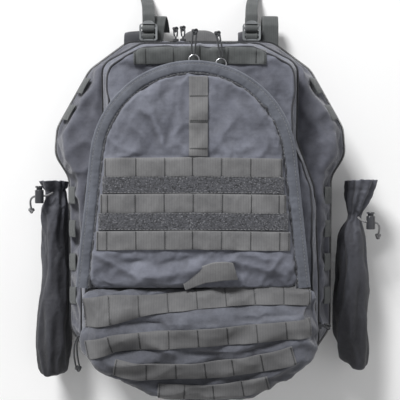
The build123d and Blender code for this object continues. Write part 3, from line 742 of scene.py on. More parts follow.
tub_rings = levels(BODY, BODY_R, FLARE_TUB, (1, 1), TUB_Z,
                   ((0, -7.0), (2, -2.0), (7, -0.2), (22, 0), (45, 0)))
tub_rings.append(at_height(outline(BODY, BODY_R), TUB_Z[1] + PAST_RIM))
tub = soft_shell(
    "rear_shell", tub_rings, BODY_VOXEL, TUB_Z[1], True,
    lambda p: np.maximum(near_rim(p, TUB_Z[1]), 1 - step(p[:, 2], TUB_Z[0] + 1, TUB_Z[0] + 8)),
    tub_folds, dict(pressure=1.5, slack=0.03, cap=3.0))
finish_piece(tub, "pack_back", SHADED_SIDE_FABRIC, ["main_tub"])


# front half of the main compartment
def under_middle(pts, margin=6.0):
    """Where the middle compartment covers the lid, from 0 to 1."""
    half = np.interp(pts[:, 1], [y for _, y in MIDDLE[::-1]], [x for x, _ in MIDDLE[::-1]])
    inside = (np.abs(pts[:, 0]) < half + margin) & (pts[:, 1] > MIDDLE[-1][1] - margin)
    return inside & (pts[:, 1] < MIDDLE[0][1] + margin) & (pts[:, 2] > LID_Z[1] - 9)


def lid_folds(pts):
    side = np.where(under_middle(pts), 0.0, 1.0)
    pleats = 3.0 * creases(pts, (30, 38, 160), 7) + 2.2 * waves(pts, (60, 60, 60), 5) - 2.4
    puffed = 4.0 * step(pts[:, 2], LID_Z[1] - 14, LID_Z[1] - 1)
    return side * np.minimum(pleats + puffed, 5.0) * (1 - near_rim(pts, LID_Z[0]))


lid_rings = [at_height(outline(BODY, BODY_R), LID_Z[0] - PAST_RIM)]
lid_rings += levels(BODY, BODY_R, (1, 1), FLARE_LID, LID_Z,
                    ((0, 0), (21, 0), (35, 0), (40.5, -2.5), (43, -8.0)))
lid = soft_shell(
    "main_lid_shell", lid_rings, BODY_VOXEL, LID_Z[0], False,
    lambda p: np.maximum(near_rim(p, LID_Z[0]), under_middle(p)),
    lid_folds, dict(pressure=1.5, slack=0.05, cap=3.5))
finish_piece(lid, "main_lid", SHADED_SIDE_FABRIC, ["main_lid"])


# middle compartment
def mid_folds(pts):
    return (2.4 * creases(pts, (24, 32, 120), 11) - 1.6) * (1 - near_rim(pts, MID_TUB_Z[1])) * \
        step(pts[:, 2], MID_TUB_Z[0] + 1, MID_TUB_Z[0] + 8)


mid_rings = levels(MIDDLE, MIDDLE_R, (1.02, 1), (1, 1), MID_TUB_Z, ((0, -0.5), (3, 0)))
mid_rings += [at_height(outline(MIDDLE, MIDDLE_R), z) for z in (MID_TUB_Z[1], MID_TUB_Z[1] + PAST_RIM)]
mid_tub = soft_shell(
    "middle_gusset", mid_rings, MIDDLE_VOXEL, MID_TUB_Z[1], True,
    lambda p: np.maximum(near_rim(p, MID_TUB_Z[1]), 1 - step(p[:, 2], MID_TUB_Z[0] + 1, MID_TUB_Z[0] + 6)),
    mid_folds, dict(pressure=1.0, slack=0.04, cap=2.5))
finish_piece(mid_tub, "main_lid", SHADED_SIDE_FABRIC, ["mid_tub"])

# folds that run down the open shoulders of the middle compartment: from, to, width, height
MID_FOLDS = [((-126, 196), (-112, 118), 8, 5.0), ((-132, 176), (-120, 128), 8, -6.0),
             ((-140, 150), (-136, 60), 7, 5.0), ((-142, 60), (-150, -130), 8, 5.0),
             ((126, 206), (128, 118), 6, 5.0), ((102, 188), (122, 122), 12, -7.0),
             ((134, 110), (146, -40), 8, 5.0), ((148, -20), (154, -140), 8, -5.0),
             ((-60, 212), (50, 216), 8, -2.5), ((-118, 226), (-64, 206), 6, 3.5),
             ((-96, 210), (-50, 200), 7, -2.5), ((112, 226), (64, 208), 6, 3.5),
             ((90, 200), (118, 150), 7, 3.0), ((-104, 190), (-122, 140), 5, 3.0)]


def mid_lid_folds(pts):
    face = step(pts[:, 2], MID_LID_Z[1] - 7, MID_LID_Z[1] - 1)
    height = 2.6 * waves(pts, (38, 60, 45), 13) + 1.3 * creases(pts, (20, 46, 60), 17) - 1.4
    for a, b, width, tall in MID_FOLDS:
        height = height + face * tall * ridge(pts, a, b, width)
    covered = (np.hypot(pts[:, 0] - ARCH_X, pts[:, 1] - ARCH_Y) < ARCH_WALL) | (pts[:, 1] < ARCH_Y)
    flare = math.tan(math.radians(ARCH_FLARE))
    covered &= np.abs(pts[:, 0] - ARCH_X) < ARCH_WALL + (ARCH_Y - pts[:, 1]) * flare
    height = np.where(face * covered > 0.5, np.minimum(height, -1.2), height)
    return height * (1 - near_rim(pts, MID_LID_Z[0]))


mid_lid_rings = [at_height(outline(MIDDLE, MIDDLE_R), MID_LID_Z[0] - PAST_RIM)]
mid_lid_rings += levels(MIDDLE, MIDDLE_R, (1, 1), MID_FLARE, MID_LID_Z,
                        ((0, 0), (22, 0), (25.6, -1.4), (27, -5.0)))
mid_lid = soft_shell(
    "middle_lid_shell", mid_lid_rings, MIDDLE_VOXEL, MID_LID_Z[0], False,
    lambda p: np.maximum(near_rim(p, MID_LID_Z[0]),
                         0.9 * step(p[:, 2], MID_LID_Z[1] - 3, MID_LID_Z[1]) * (np.abs(p[:, 0]) < 118)),
    mid_lid_folds, dict(pressure=1.0, slack=0.03, cap=2.5))
finish_piece(mid_lid, "mid_lid", FABRIC, ["mid_lid"])


# bound seam along the front edge of the middle compartment
def tube(name, line, radius, closed=True, around=8):
    """A round tube along points."""
    pts = [Vector(p) for p in line]
    count = len(pts)
    rings = []
    for k, p in enumerate(pts):
        before = pts[k - 1] if closed or k else pts[0]
        after = pts[(k + 1) % count] if closed or k < count - 1 else pts[-1]
        rings.append(circle(p, (after - before).normalized(), Vector((0, 0, 1)), radius, around))
    return shade(ringed(name, rings, closed=closed, ends=not closed))


def circle(centre, ahead, upward, radius, around, start=0.0):
    """Points round a line that runs ahead through a centre."""
    side = ahead.cross(upward)
    side = side.normalized() if side.length > 1e-4 else Vector((1, 0, 0))
    up = side.cross(ahead)
    turns = [start + 2 * math.pi * a / around for a in range(around)]
    return [centre + (side * math.cos(turn) + up * math.sin(turn)) * radius for turn in turns]


def along_edge(obj, line, out=0.5):
    """The nearest points of a surface to a line, a little outside it."""
    tree = surface_of(obj)
    found = [tree.find_nearest(Vector(p)) for p in line]
    pts = np.array([tuple(hit[0] + hit[1] * out) for hit in found])
    for _ in range(3):
        pts = (np.roll(pts, 1, axis=0) + pts * 2 + np.roll(pts, -1, axis=0)) / 4
    return pts


MID_EDGE = at_height(outline(MIDDLE, MIDDLE_R, MID_FLARE, grow=-1.0, count=420), MID_LID_Z[1] - 1.0)
finish_piece(tube("middle_piping", along_edge(mid_lid, MID_EDGE), 1.5), "mid_lid", PIPING)


# --- arched pocket -----------------------------------------------------------------------
# folds of the slack panel under the webbing rows, and soft ones above them
PANEL_FOLDS = [((-139, -44), (-80, -76), 6, 8.1), ((-80, -76), (-32, -69), 7, 9.4),
               ((-40, -70), (44, -55), 7, 8.8), ((-120, -62), (-60, -52), 6, -6.2),
               ((-64, -60), (4, -48), 6, -7.5), ((-128, -80), (-84, -92), 6, 6.2),
               ((-90, -90), (-12, -79), 6, 6.9), ((44, -55), (112, -70), 7, 7.5),
               ((54, -44), (100, -52), 6, 5.0), ((60, -68), (24, -84), 7, -7.5),
               ((-20, -84), (14, -70), 7, -7.5), ((108, -46), (84, -78), 5, 5.0),
               ((-78, 146), (-62, 138), 6, 5.0), ((-64, 140), (-50, 112), 6, 7.5),
               ((-51, 114), (-48, 96), 5, 6.2), ((-36, 136), (-46, 100), 6, -6.2),
               ((-62, 122), (-56, 100), 6, -5.6), ((-92, 128), (-64, 104), 7, 3.8),
               ((-24, 128), (-38, 112), 5, 3.8), ((-104, 96), (-70, 88), 6, 2.8),
               ((44, 160), (78, 118), 9, 3.1), ((70, 150), (96, 96), 8, -2.8),
               ((-36, 176), (-68, 150), 7, -3.1), ((30, 180), (60, 158), 6, -2.2)]
ROWS = [(71, 118.5), (23, 123.5), (-26, 128.5)]
LOOPS = [(47, 120.5), (-1.5, 126)]


def on_row(pts):
    flat = np.zeros(len(pts))
    for y, _ in ROWS + LOOPS:
        flat = np.maximum(flat, 1 - step(np.abs(pts[:, 1] - y), 10, 17))
    return flat


def panel_folds(pts):
    face = step(pts[:, 2], PANEL_TOP - 6, PANEL_TOP - 1)
    height = 1.8 * waves(pts, (50, 42, 50), 19) + 0.8 * creases(pts, (28, 34, 30), 23) - 0.5
    for a, b, width, tall in PANEL_FOLDS:
        height = height + tall * ridge(pts, a, b, width)
    foot = 1 - step(pts[:, 1], ARCH_FOOT + 14, ARCH_FOOT + 40)
    height = height + 3.0 * (1 - foot) * step(-pts[:, 1], 40, 70)
    return face * height * (1 - 0.8 * on_row(pts)) * (1 - 0.25 * foot)


panel_rings = [at_height(arch(ARCH_R - PANEL_INSET + 5), ARCH_Z[1] - 8),
               at_height(arch(ARCH_R - PANEL_INSET + 3), ARCH_Z[1]),
               at_height(arch(ARCH_R - PANEL_INSET, ARCH_FOOT + 3), ARCH_Z[1] + 4),
               at_height(arch(ARCH_R - PANEL_INSET - 2.5, ARCH_FOOT + 9), ARCH_Z[1] + 8),
               at_height(arch(ARCH_R - PANEL_INSET - 9, ARCH_FOOT + 22), PANEL_TOP)]
panel = remesh(loft("arch_panel", panel_rings), FINE_VOXEL)
cut(panel, (0, 0, ARCH_Z[1] - 2), (0, 0, -1))
displace(panel, panel_folds)
cloth(panel, np.maximum(1 - step(points_of(panel)[:, 2], ARCH_Z[1], ARCH_Z[1] + 5),
                        0.6 * on_row(points_of(panel))), pressure=2.5, slack=0.045, cap=3.5, bend=0.25)
subdivide(panel)
shade(thicken(panel, WALL))
finish_piece(panel, "arch_flap", FABRIC, ["arch_flap"])

# the pocket's wall behind the storm flap
wall = ringed("arch_wall", [at_height(arch(ARCH_WALL - inward), z) for inward, z in (
    (0, ARCH_Z[0]), (0, ARCH_Z[0] + 6), (1.5, ARCH_Z[1] - 3), (4, ARCH_Z[1] - 0.5), (9.5, ARCH_Z[1] - 0.4))])
shade(thicken(wall, WALL))
finish_piece(wall, "arch_flap", SHADE_FABRIC)


def storm_band():
    """The gathered band over the arched zip: a soft tube, puckered where it is sewn inside."""
    across = 14
    line = arch(ARCH_R - PANEL_INSET / 2, ARCH_FOOT - 4, 900, 2)
    keep = line[:, 1] > ARCH_FOOT + 0.5
    order = np.roll(np.arange(len(line)), -int(len(line) - np.argmin(keep[::-1])))
    line = line[[k for k in order if keep[k]]]
    _, out = directions(line)
    travelled = travelled_along(line)
    verts, binding = [], []
    for k, (point, normal) in enumerate(zip(line, out)):
        s = travelled[k]
        gather = noise.noise(Vector((s / 13, 3.1, 0))) + 0.6 * noise.noise(Vector((s / 5.5, 8.2, 0)))
        loose = noise.noise(Vector((s / 34, 1.7, 0)))
        for c in range(across + 1):
            t = c / across
            reach = (t - 0.5) * (PANEL_INSET + 1.5)
            pucker = (1 - t) ** 2 * gather
            reach += pucker * 2.8 - (1 - t) * 0.4
            lift = 1.2 + 3.6 * math.sin(math.pi * min(1.0, 0.10 + 0.86 * t)) ** 0.8
            lift += pucker * 2.6 + loose * 1.4 * math.sin(math.pi * t)
            lift -= 2.4 * max(0.0, math.exp(-((t - 0.12) / 0.08) ** 2))
            lift -= 0.8 * math.exp(-((t - 0.80) / 0.05) ** 2)
            verts.append((*(point + normal * reach), ARCH_Z[1] + 0.2 + lift))
            if c == 1:
                binding.append(verts[-1])
    band = face_up(subdivide(shade(mesh("storm_band", verts, grid(len(line), across + 1)))))
    finish_piece(tube("storm_binding", [(x, y, z + 0.9) for x, y, z in binding], 1.7, closed=False),
                 "arch_flap", PIPING)
    return shade(thicken(band, 1.2))


storm = finish_piece(storm_band(), "arch_flap", BAND_FABRIC, ["storm_flap"])
# dark tube along the outer edge of the storm flap: partly the dark zip edge, partly painted shade in the gap
# between band and body
EDGE = from_its_gap([p for p in arch(ARCH_R - 0.4, ARCH_FOOT - 4, 900, 2) if p[1] > ARCH_FOOT + 1])
finish_piece(tube("storm_edge", at_height(np.array(EDGE), ARCH_Z[1] + 0.6), 1.2, closed=False),
             "arch_flap", PIPING)


# --- lower pocket ------------------------------------------------------------------------
def belly_ring(z, shrink=0.0):
    """The lower pocket's outline at one height: its plan, cut off where the belly slopes."""
    top = np.interp(z, [189, 210, BELLY_Z], [-92.5, -92.5, -122])
    bottom = np.interp(z, [189, 198, 214, BELLY_Z], [-240.5, -246, -229, -178])
    wide = np.interp(z, [214, BELLY_Z], [158, 134])
    plan = even(rounded(BELLY_PLAN, 14), 300)
    plan = plan - shrink * directions(plan, True)[1]
    plan[:, 0] = np.clip(plan[:, 0], -wide + shrink, wide - shrink)
    plan[:, 1] = np.clip(plan[:, 1], bottom + shrink, top - shrink)
    return at_height(plan, z)


# droops between the rows of webbing, each from, to, width, height
BELLY_FOLDS = [((-92, -134), (-34, -131), 9, -9), ((-34, -128), (40, -124), 8, 4),
               ((-52, -122), (-34, -142), 5, 5), ((52, -126), (126, -122), 7, -6),
               ((-122, -176), (-76, -165), 7, -9), ((-78, -166), (-46, -170), 6, -8),
               ((-116, -184), (-56, -180), 8, 7), ((-66, -160), (-20, -176), 6, 5),
               ((-30, -176), (44, -172), 8, -7), ((47, -174), (124, -152), 7, -9),
               ((122, -152), (150, -166), 6, 7), ((88, -204), (140, -172), 7, 5),
               ((-96, -208), (-20, -214), 7, -7), ((-20, -214), (70, -206), 7, -7),
               ((-150, -140), (-100, -140), 7, -5), ((-148, -176), (-120, -192), 6, 6),
               ((60, -214), (104, -198), 5, 5), ((0, -136), (70, -132), 6, 4)]


def belly_shape(pts):
    face = step(pts[:, 2], 203, 216)
    height = 3.2 * waves(pts, (48, 26, 40), 29) + 2.2 * creases(pts, (60, 18, 40), 31) - 2.2
    height = height * (0.5 + 0.5 * face)
    for a, b, width, tall in BELLY_FOLDS:
        height = height + face * tall * ridge(pts, a, b, width)
    return height * step(pts[:, 2], 191, 200)


belly_rings = [belly_ring(z, shrink) for z, shrink in (
    (183, 1), (189, 1), (196, 0.5), (204, 0), (212, 0), (220, 1), (228, 1), (233, 2), (BELLY_Z, 7))]
belly = remesh(loft("lower_pocket", belly_rings), FINE_VOXEL)
cut(belly, (0, 0, ARCH_Z[0] + 0.2), (0, 0, -1))
smooth_steps(belly, 0.5, 3)
displace(belly, belly_shape)
cloth(belly, 1 - step(points_of(belly)[:, 2], 190, 200), pressure=2.0, slack=0.06, cap=4.5, bend=0.2)
subdivide(belly)
shade(thicken(belly, WALL))
finish_piece(belly, "lower_flap", LOWER_FABRIC, ["lower_flap"])


# --- webbing laid on the compartments ----------------------------------------------------
def ribbon(name, centres, sideways, lifts, width, thickness, across=8, crown=0.5):
    """A strip of webbing along centre points, with a slight crown and rounded edges."""
    verts = []
    for centre, side, up in zip(centres, sideways, lifts):
        for c in range(across + 1):
            t = 2 * c / across - 1
            drop = crown * t * t + 0.5 * abs(t) ** 8
            verts.append(tuple(centre + side * (t * width / 2) - up * drop))
    obj = mesh(name, verts, grid(len(centres), across + 1))
    if normals_of(obj).mean(axis=0) @ np.mean([tuple(u) for u in lifts], axis=0) < 0:
        obj.data.flip_normals()
    return shade(bevel(thicken(obj, thickness), 0.45))


def tacks_between(length, pitch=BARTACK):
    """Where bartacks cross a row: evenly from its middle, and one at each end."""
    count = int(length / 2 / pitch - 0.2)
    inner = [length / 2 + k * pitch for k in range(-count, count + 1)]
    return [3.0] + inner + [length - 3.0]


def laid(name, tree, line, width, thickness, tacks, fall_back, stiff=5, hover=0.5, arch_up=1.3):
    """Webbing laid along a line seen from the front, held down at its bartacks."""
    line = open_line(line, 30, max(8, int(length_of(line) / 2)))
    along, side = directions(line)
    travelled = travelled_along(line)
    ts = np.linspace(-1, 1, 9)
    if isinstance(width, tuple):        # wider at its start than from a third of the way on
        width = width[1] + (width[0] - width[1]) * (1 - step(travelled / travelled[-1], 0.10, 0.34))
    side = side * np.broadcast_to(width, len(line))[:, None] / WEBBING
    width = WEBBING
    height = np.array([[front_height(tree, *(p + s * t * width / 2), fall_back) for t in ts]
                       for p, s in zip(line, side)])
    soft = height.copy()
    for _ in range(stiff):
        soft[1:-1] = (soft[:-2] + soft[2:] + 2 * soft[1:-1]) / 4
        soft[:, 1:-1] = (soft[:, :-2] + soft[:, 2:] + 2 * soft[:, 1:-1]) / 4
    gap = np.min([np.abs(travelled - t) for t in tacks], axis=0)
    lift = arch_up * np.sin(np.clip(gap / (BARTACK / 2), 0, 1) * math.pi / 2)
    z = np.maximum(soft, height + 0.1) + hover + thickness + lift[:, None]
    verts = [(*(p + s * t * width / 2), up - 0.35 * abs(t) ** 6)
             for p, s, ups in zip(line, side, z) for t, up in zip(ts, ups)]
    obj = face_up(mesh(name, verts, grid(len(line), len(ts))))
    shade(bevel(thicken(obj, thickness), 0.4))
    nearest = [int(np.argmin(np.abs(travelled - tack))) for tack in tacks]
    return obj, [(line[k], side[k], along[k], z[k]) for k in nearest]


def join_pieces(name, parts):
    """One piece made of several separate strips."""
    verts, faces = [], []
    for part in parts:
        base = len(verts)
        verts += [tuple(p) for p in points_of(part)]
        faces += [[base + i for i in f.vertices] for f in part.data.polygons]
        bpy.data.objects.remove(part)
    return shade(mesh(name, verts, faces))


def stitch_run(path, thread=0.45):
    """One sewn line as a thin round thread through points: vertices and faces."""
    path = [Vector(p) for p in path]
    verts = []
    for k, point in enumerate(path):
        ahead = (path[min(k + 1, len(path) - 1)] - path[max(k - 1, 0)]).normalized()
        verts += circle(point, ahead, Vector((0, 0, 1)), thread, 4, math.pi / 4)
    return verts, hoops(len(path), 4, ends=True)


def stitches(name, paths, thread=0.45):
    verts, faces = [], []
    for path in paths:
        more, sides = stitch_run(path, thread)
        faces += [tuple(i + len(verts) for i in f) for f in sides]
        verts += more
    return shade(mesh(name, verts, faces))


def bartack(spot, width, reach=1.5, turns=9):
    """Zigzag stitching across a strip of webbing."""
    point, side, along, heights = spot
    ts = np.linspace(-1, 1, len(heights))
    path = []
    for k in range(2 * turns + 1):
        t = -0.92 + 1.84 * k / (2 * turns)
        x, y = point + side * t * width / 2 + along * (reach / 2 if k % 2 else -reach / 2)
        path.append((x, y, float(np.interp(t, ts, heights)) + 0.15))
    return path


def dashes(points, dash=3.2, gap=1.3):
    """A sewn line broken into stitches: short runs along evenly spaced points."""
    runs, here, run = [], 0.0, [points[0]]
    for a, b in zip(points, points[1:]):
        here += math.dist(a, b)
        if here < dash:
            run.append(b)
        elif here >= dash + gap:
            if len(run) > 1:
                runs.append(run)
            run, here = [b], 0.0
    return runs


def edge_stitching(tree, line, fall_back):
    return dashes([(x, y, front_height(tree, x, y, fall_back) + SEAM_UP) for x, y in line])


panel_tree = surface_of(panel, wall)
row_parts, row_tacks = [], []
for y, half in ROWS:
    line = [(ARCH_X - half, y - 1), (ARCH_X, y), (ARCH_X + half, y - 2)]
    obj, spots = laid(f"row_{int(y)}", panel_tree, line, WEBBING, ROW_THICK, tacks_between(2 * half),
                      PANEL_TOP)
    row_parts.append(obj)
    row_tacks += [bartack(s, WEBBING) for s in spots]
STRIP_TACKS = [2, 26, 27.5, 60, 62, 96, 98]
strip, spots = laid("strip", panel_tree, [(-2, 191.5), (-2, 84.5)], WEBBING, ROW_THICK, STRIP_TACKS,
                    PANEL_TOP, arch_up=0.8)
finish_piece(shade(strip), "arch_flap", WEB, ["centre_strip"])
strip.name = "strip_down_the_middle"
strip_tacks = [bartack(s, WEBBING) for s in spots[1:-1]]
finish_piece(join_pieces("webbing_rows", row_parts), "arch_flap", WEB, ["front_webbing"])

LOOP_WIDTH, LOOP_THICK = 23.4, 2.0
NO_TACKS = [1e6]
piles = []
for y, half in LOOPS:
    line = [(ARCH_X - half, y), (ARCH_X, y + 0.5), (ARCH_X + half, y - 1)]
    part, _ = laid(f"pile_{int(y)}", panel_tree, line, LOOP_WIDTH, LOOP_THICK, NO_TACKS, PANEL_TOP,
                   arch_up=0.0)
    pts = points_of(part)
    move_points(part, pts + 0.18 * waves(pts, (2.0, 2.0, 4.0), 41)[:, None] * np.array([0, 1, 1]))
    piles.append(part)
loop_tape = finish_piece(join_pieces("loop_tape", piles), "arch_flap", PILE, ["loop_strips"])
pile_tree = surface_of(loop_tape)
pile_edges = []
for y, half in LOOPS:
    for edge in (-10.4, 10.2):
        sewn = [(x, y + edge + 0.3 * noise.noise(Vector((x / 6, y, edge)))) for x in
                np.linspace(ARCH_X - half + 2, ARCH_X + half - 2, 260)]
        pile_edges += edge_stitching(pile_tree, sewn, PANEL_TOP)
finish_piece(stitches("loop_tape_stitching", pile_edges, 0.42), "arch_flap", PALE_THREAD)

# folded tab below the rows: sewn down on its left, standing up off the panel on its right
TAB_LINE = [(-22, -84, 0.5), (-12, -80, 2), (4, -72, 8), (22, -67, 13), (38, -66, 14), (47, -67, 12)]
TAB_WIDTH = [18, 20, 23, 26, 26, 24]
tab_points = open_line([(x, y, front_height(panel_tree, x, y, PANEL_TOP) + up) for x, y, up in TAB_LINE],
                       12, 36)
TAB_ACROSS = 9
tab_verts = []
for k, (x, y, z) in enumerate(tab_points):
    t = k / (len(tab_points) - 1)
    half = np.interp(t, np.linspace(0, 1, len(TAB_WIDTH)), TAB_WIDTH) / 2
    for across in np.linspace(-1, 1, TAB_ACROSS):
        swing = Vector((-0.30, 1, 0)).normalized() * across * half
        tab_verts.append((x + swing.x, y + swing.y, z + across * 2.5 * t - 1.2 * across * across))
tab = face_up(subdivide(mesh("pull_tab", tab_verts, grid(len(tab_points), TAB_ACROSS))))
finish_piece(shade(thicken(tab, 2.2)), "arch_flap", WEB, ["folded_tab"])
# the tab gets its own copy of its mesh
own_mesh(tab)

finish_piece(stitches("front_stitching", row_tacks + strip_tacks), "arch_flap",
             THREAD)

# sewn lines round the storm flap, inside and outside the band
storm_tree = surface_of(storm, panel)
seam_paths = []
for radius in (ARCH_R - 3.6, ARCH_R - PANEL_INSET + 2.2):
    line = from_its_gap([p for p in arch(radius, ARCH_FOOT, 1400, 2) if p[1] > ARCH_FOOT + 3])
    seam_paths += edge_stitching(storm_tree, line, ARCH_Z[1] + 2)
finish_piece(stitches("storm_band_stitching", seam_paths, 0.35), "arch_flap", PALE_THREAD)

# rows over the lower pocket, which droop to the left
LOWER_ROW_LINES = [
    [(-155, -122), (-124, -118), (-83, -113), (-31, -107), (35, -101), (100, -98), (147, -101)],
    [(-150, -170), (-112, -160), (-56, -155), (-17, -154), (21, -151), (62, -147), (105, -143), (146, -139)],
    [(-112, -191), (-77, -198), (-37, -199), (5, -198), (44, -192), (82, -185), (122, -174)],
    [(-56, -227), (-11, -230), (18, -229), (62, -221), (90, -213)]]
ROW_WIDTHS = [(38, 23), 24.0, 24.0, 22.0]
belly_tree = surface_of(belly)
lower_parts, lower_tacks = [], []
for number, (line, width) in enumerate(zip(LOWER_ROW_LINES, ROW_WIDTHS)):
    obj, spots = laid(f"lower_row_{number}", belly_tree, line, width, ROW_THICK,
                      tacks_between(length_of(line)), 200, stiff=4, arch_up=1.6)
    lower_parts.append(obj)
    lower_tacks += [bartack(s, WEBBING) for s in spots]
finish_piece(join_pieces("lower_webbing_rows", lower_parts), "lower_flap", SHADED_LOWER_WEB,
             ["lower_webbing"])
finish_piece(stitches("lower_stitching", lower_tacks), "lower_flap", THREAD)

# row across the top of the middle compartment
mid_tree = surface_of(mid_lid)
top_row, spots = laid("top_row", mid_tree, [(-91, 224), (0, 227), (91, 224)], 23.6, ROW_THICK,
                      tacks_between(184), MID_LID_Z[1], arch_up=0.9)
finish_piece(top_row, "mid_lid", DARK_WEB, ["top_webbing"])
finish_piece(stitches("top_row_stitching", [bartack(s, 23) for s in spots]), "mid_lid", THREAD)

# short lengths of webbing up the sloping sides
SIDE_ROWS = [(1, 0.28), (1, 0.74), (4, 0.12), (4, 0.34), (4, 0.56), (4, 0.78)]
SIDE_START, SIDE_LENGTH = 4.0, 33.0
side_parts = []
for number, (edge, place) in enumerate(SIDE_ROWS):
    upper, lower = Vector(BODY[edge]), Vector(BODY[edge + 1])
    at = upper.lerp(lower, place)
    foot = Vector((at.x, at.y, LID_Z[0]))
    head = Vector((foot.x * FLARE_LID[0], foot.y * FLARE_LID[1], LID_Z[1]))
    along = (lower - upper).to_3d().normalized()
    climb = (head - foot).normalized()
    out = climb.cross(along).normalized()
    out = out if out.x > 0 else -out
    for sign in SIDES.values():
        steps = 17
        centres, sideways, lifts = [], [], []
        for k in range(steps):
            t = k / (steps - 1)
            bow = 2.2 * math.sin(math.pi * t) ** 0.7 + 2.6
            p = foot + climb * (SIDE_START + SIDE_LENGTH * t) + out * bow
            centres.append(Vector((p.x * sign, p.y, p.z)))
            sideways.append(Vector((along.x * sign, along.y, 0)))
            lifts.append(Vector((out.x * sign, out.y, out.z)))
        side_parts.append(ribbon(f"side_{number}_{sign}", centres, sideways, lifts, WEBBING, ROW_THICK))
finish_piece(join_pieces("side_webbing_rows", side_parts), "main_lid", DARK_WEB, ["side_webbing"])


# --- zips --------------------------------------------------------------------------------
def zip_teeth(name, line, z, pitch=1.7):
    """The coil of a zip seen from outside: small rounded teeth side by side along its line."""
    length = np.linalg.norm(np.diff(np.vstack([line, line[:1]]), axis=0), axis=1).sum()
    pts = even(line, int(length / pitch))
    verts, faces = [], []
    sections = ((0.0, COIL_H / 2, 0.62), (1.3, COIL_H / 2, 0.62), (1.9, COIL_H / 3, 0.40))
    for point, a, o in zip(pts, *directions(pts, True)):
        base = len(verts)
        for reach, half_z, half_a in sections:
            for sa, sz in ((-1, -1), (1, -1), (1, 1), (-1, 1)):
                x, y = point + o * reach + a * sa * half_a
                verts.append((x, y, z + sz * half_z))
        faces += [tuple(base + i for i in face) for face in hoops(3, 4, ends=True)]
    return shade(mesh(name, verts, faces), False)


def zip_tape(name, line_out, line_in, z):
    """The woven tape that carries the coil, a flat band right round."""
    thick = 1.2
    rings = [at_height(line_in, z - thick), at_height(line_out, z - thick),
             at_height(line_out, z + thick), at_height(line_in, z + thick)]
    return shade(ringed(name, rings, closed=True))


PARTING = (TUB_Z[1] + LID_Z[0]) / 2
MID_PARTING = (MID_TUB_Z[1] + MID_LID_Z[0]) / 2
FRONT_COIL = GUSSET_Z[0] + 5.9
ZIPS = {
    "main_zip": ("pack_back", outline(BODY, BODY_R, grow=0.5), outline(BODY, BODY_R, grow=-7), PARTING),
    "mid_zip": ("main_lid", outline(MIDDLE, MIDDLE_R, grow=0.5), outline(MIDDLE, MIDDLE_R, grow=-7),
                MID_PARTING),
    "arch_zip": ("mid_lid", arch(ARCH_WALL + 0.5), arch(ARCH_WALL - 7, ARCH_FOOT + 7), FRONT_COIL),
    "lower_zip": ("mid_lid", outline(LOWER, LOWER_R, grow=0.5), outline(LOWER, LOWER_R, grow=-7), FRONT_COIL),
}
for name, (body, outer, inner, z) in ZIPS.items():
    finish_piece(zip_tape(f"{name}_tape", outer, inner, z), body, TAPE, [name])
    finish_piece(zip_teeth(f"{name}_teeth", outer, z), body, COIL_NYLON)

# low gussets of the two front pockets
for name, outer in (("arch_gusset", arch(ARCH_WALL - 0.2)),
                    ("lower_gusset", outline(LOWER, LOWER_R, grow=-0.4))):
    heights = np.linspace(GUSSET_Z[0] - 0.6, GUSSET_Z[1] + 0.3, 6)
    gusset = ringed(name, [at_height(outer, z) for z in heights])
    finish_piece(shade(thicken(gusset, GUSSET_THICK)), "mid_lid", SHADE_FABRIC)


# --- side pouches ------------------------------------------------------------------------
# sections from the mouth down: height, middle x, middle z, half width, half depth
POUCHES = {
    "left": [(56, -224, 58, 23, 29), (38, -222, 56, 17, 21), (14, -223, 54, 21, 29),
             (-50, -224, 50, 24, 34), (-110, -223, 49, 23, 34), (-195, -226, 47, 29, 41),
             (-240, -225, 46, 23, 33)],
    "right": [(58, 246, 60, 25, 34), (26, 242, 59, 19, 27), (2, 238, 56, 13, 17),
              (-28, 235, 53, 23, 31), (-100, 231, 50, 29, 39), (-180, 232, 48, 30, 42),
              (-228, 243, 47, 20, 33)],
}
POUCH_SEED = {"left": 43, "right": 47}


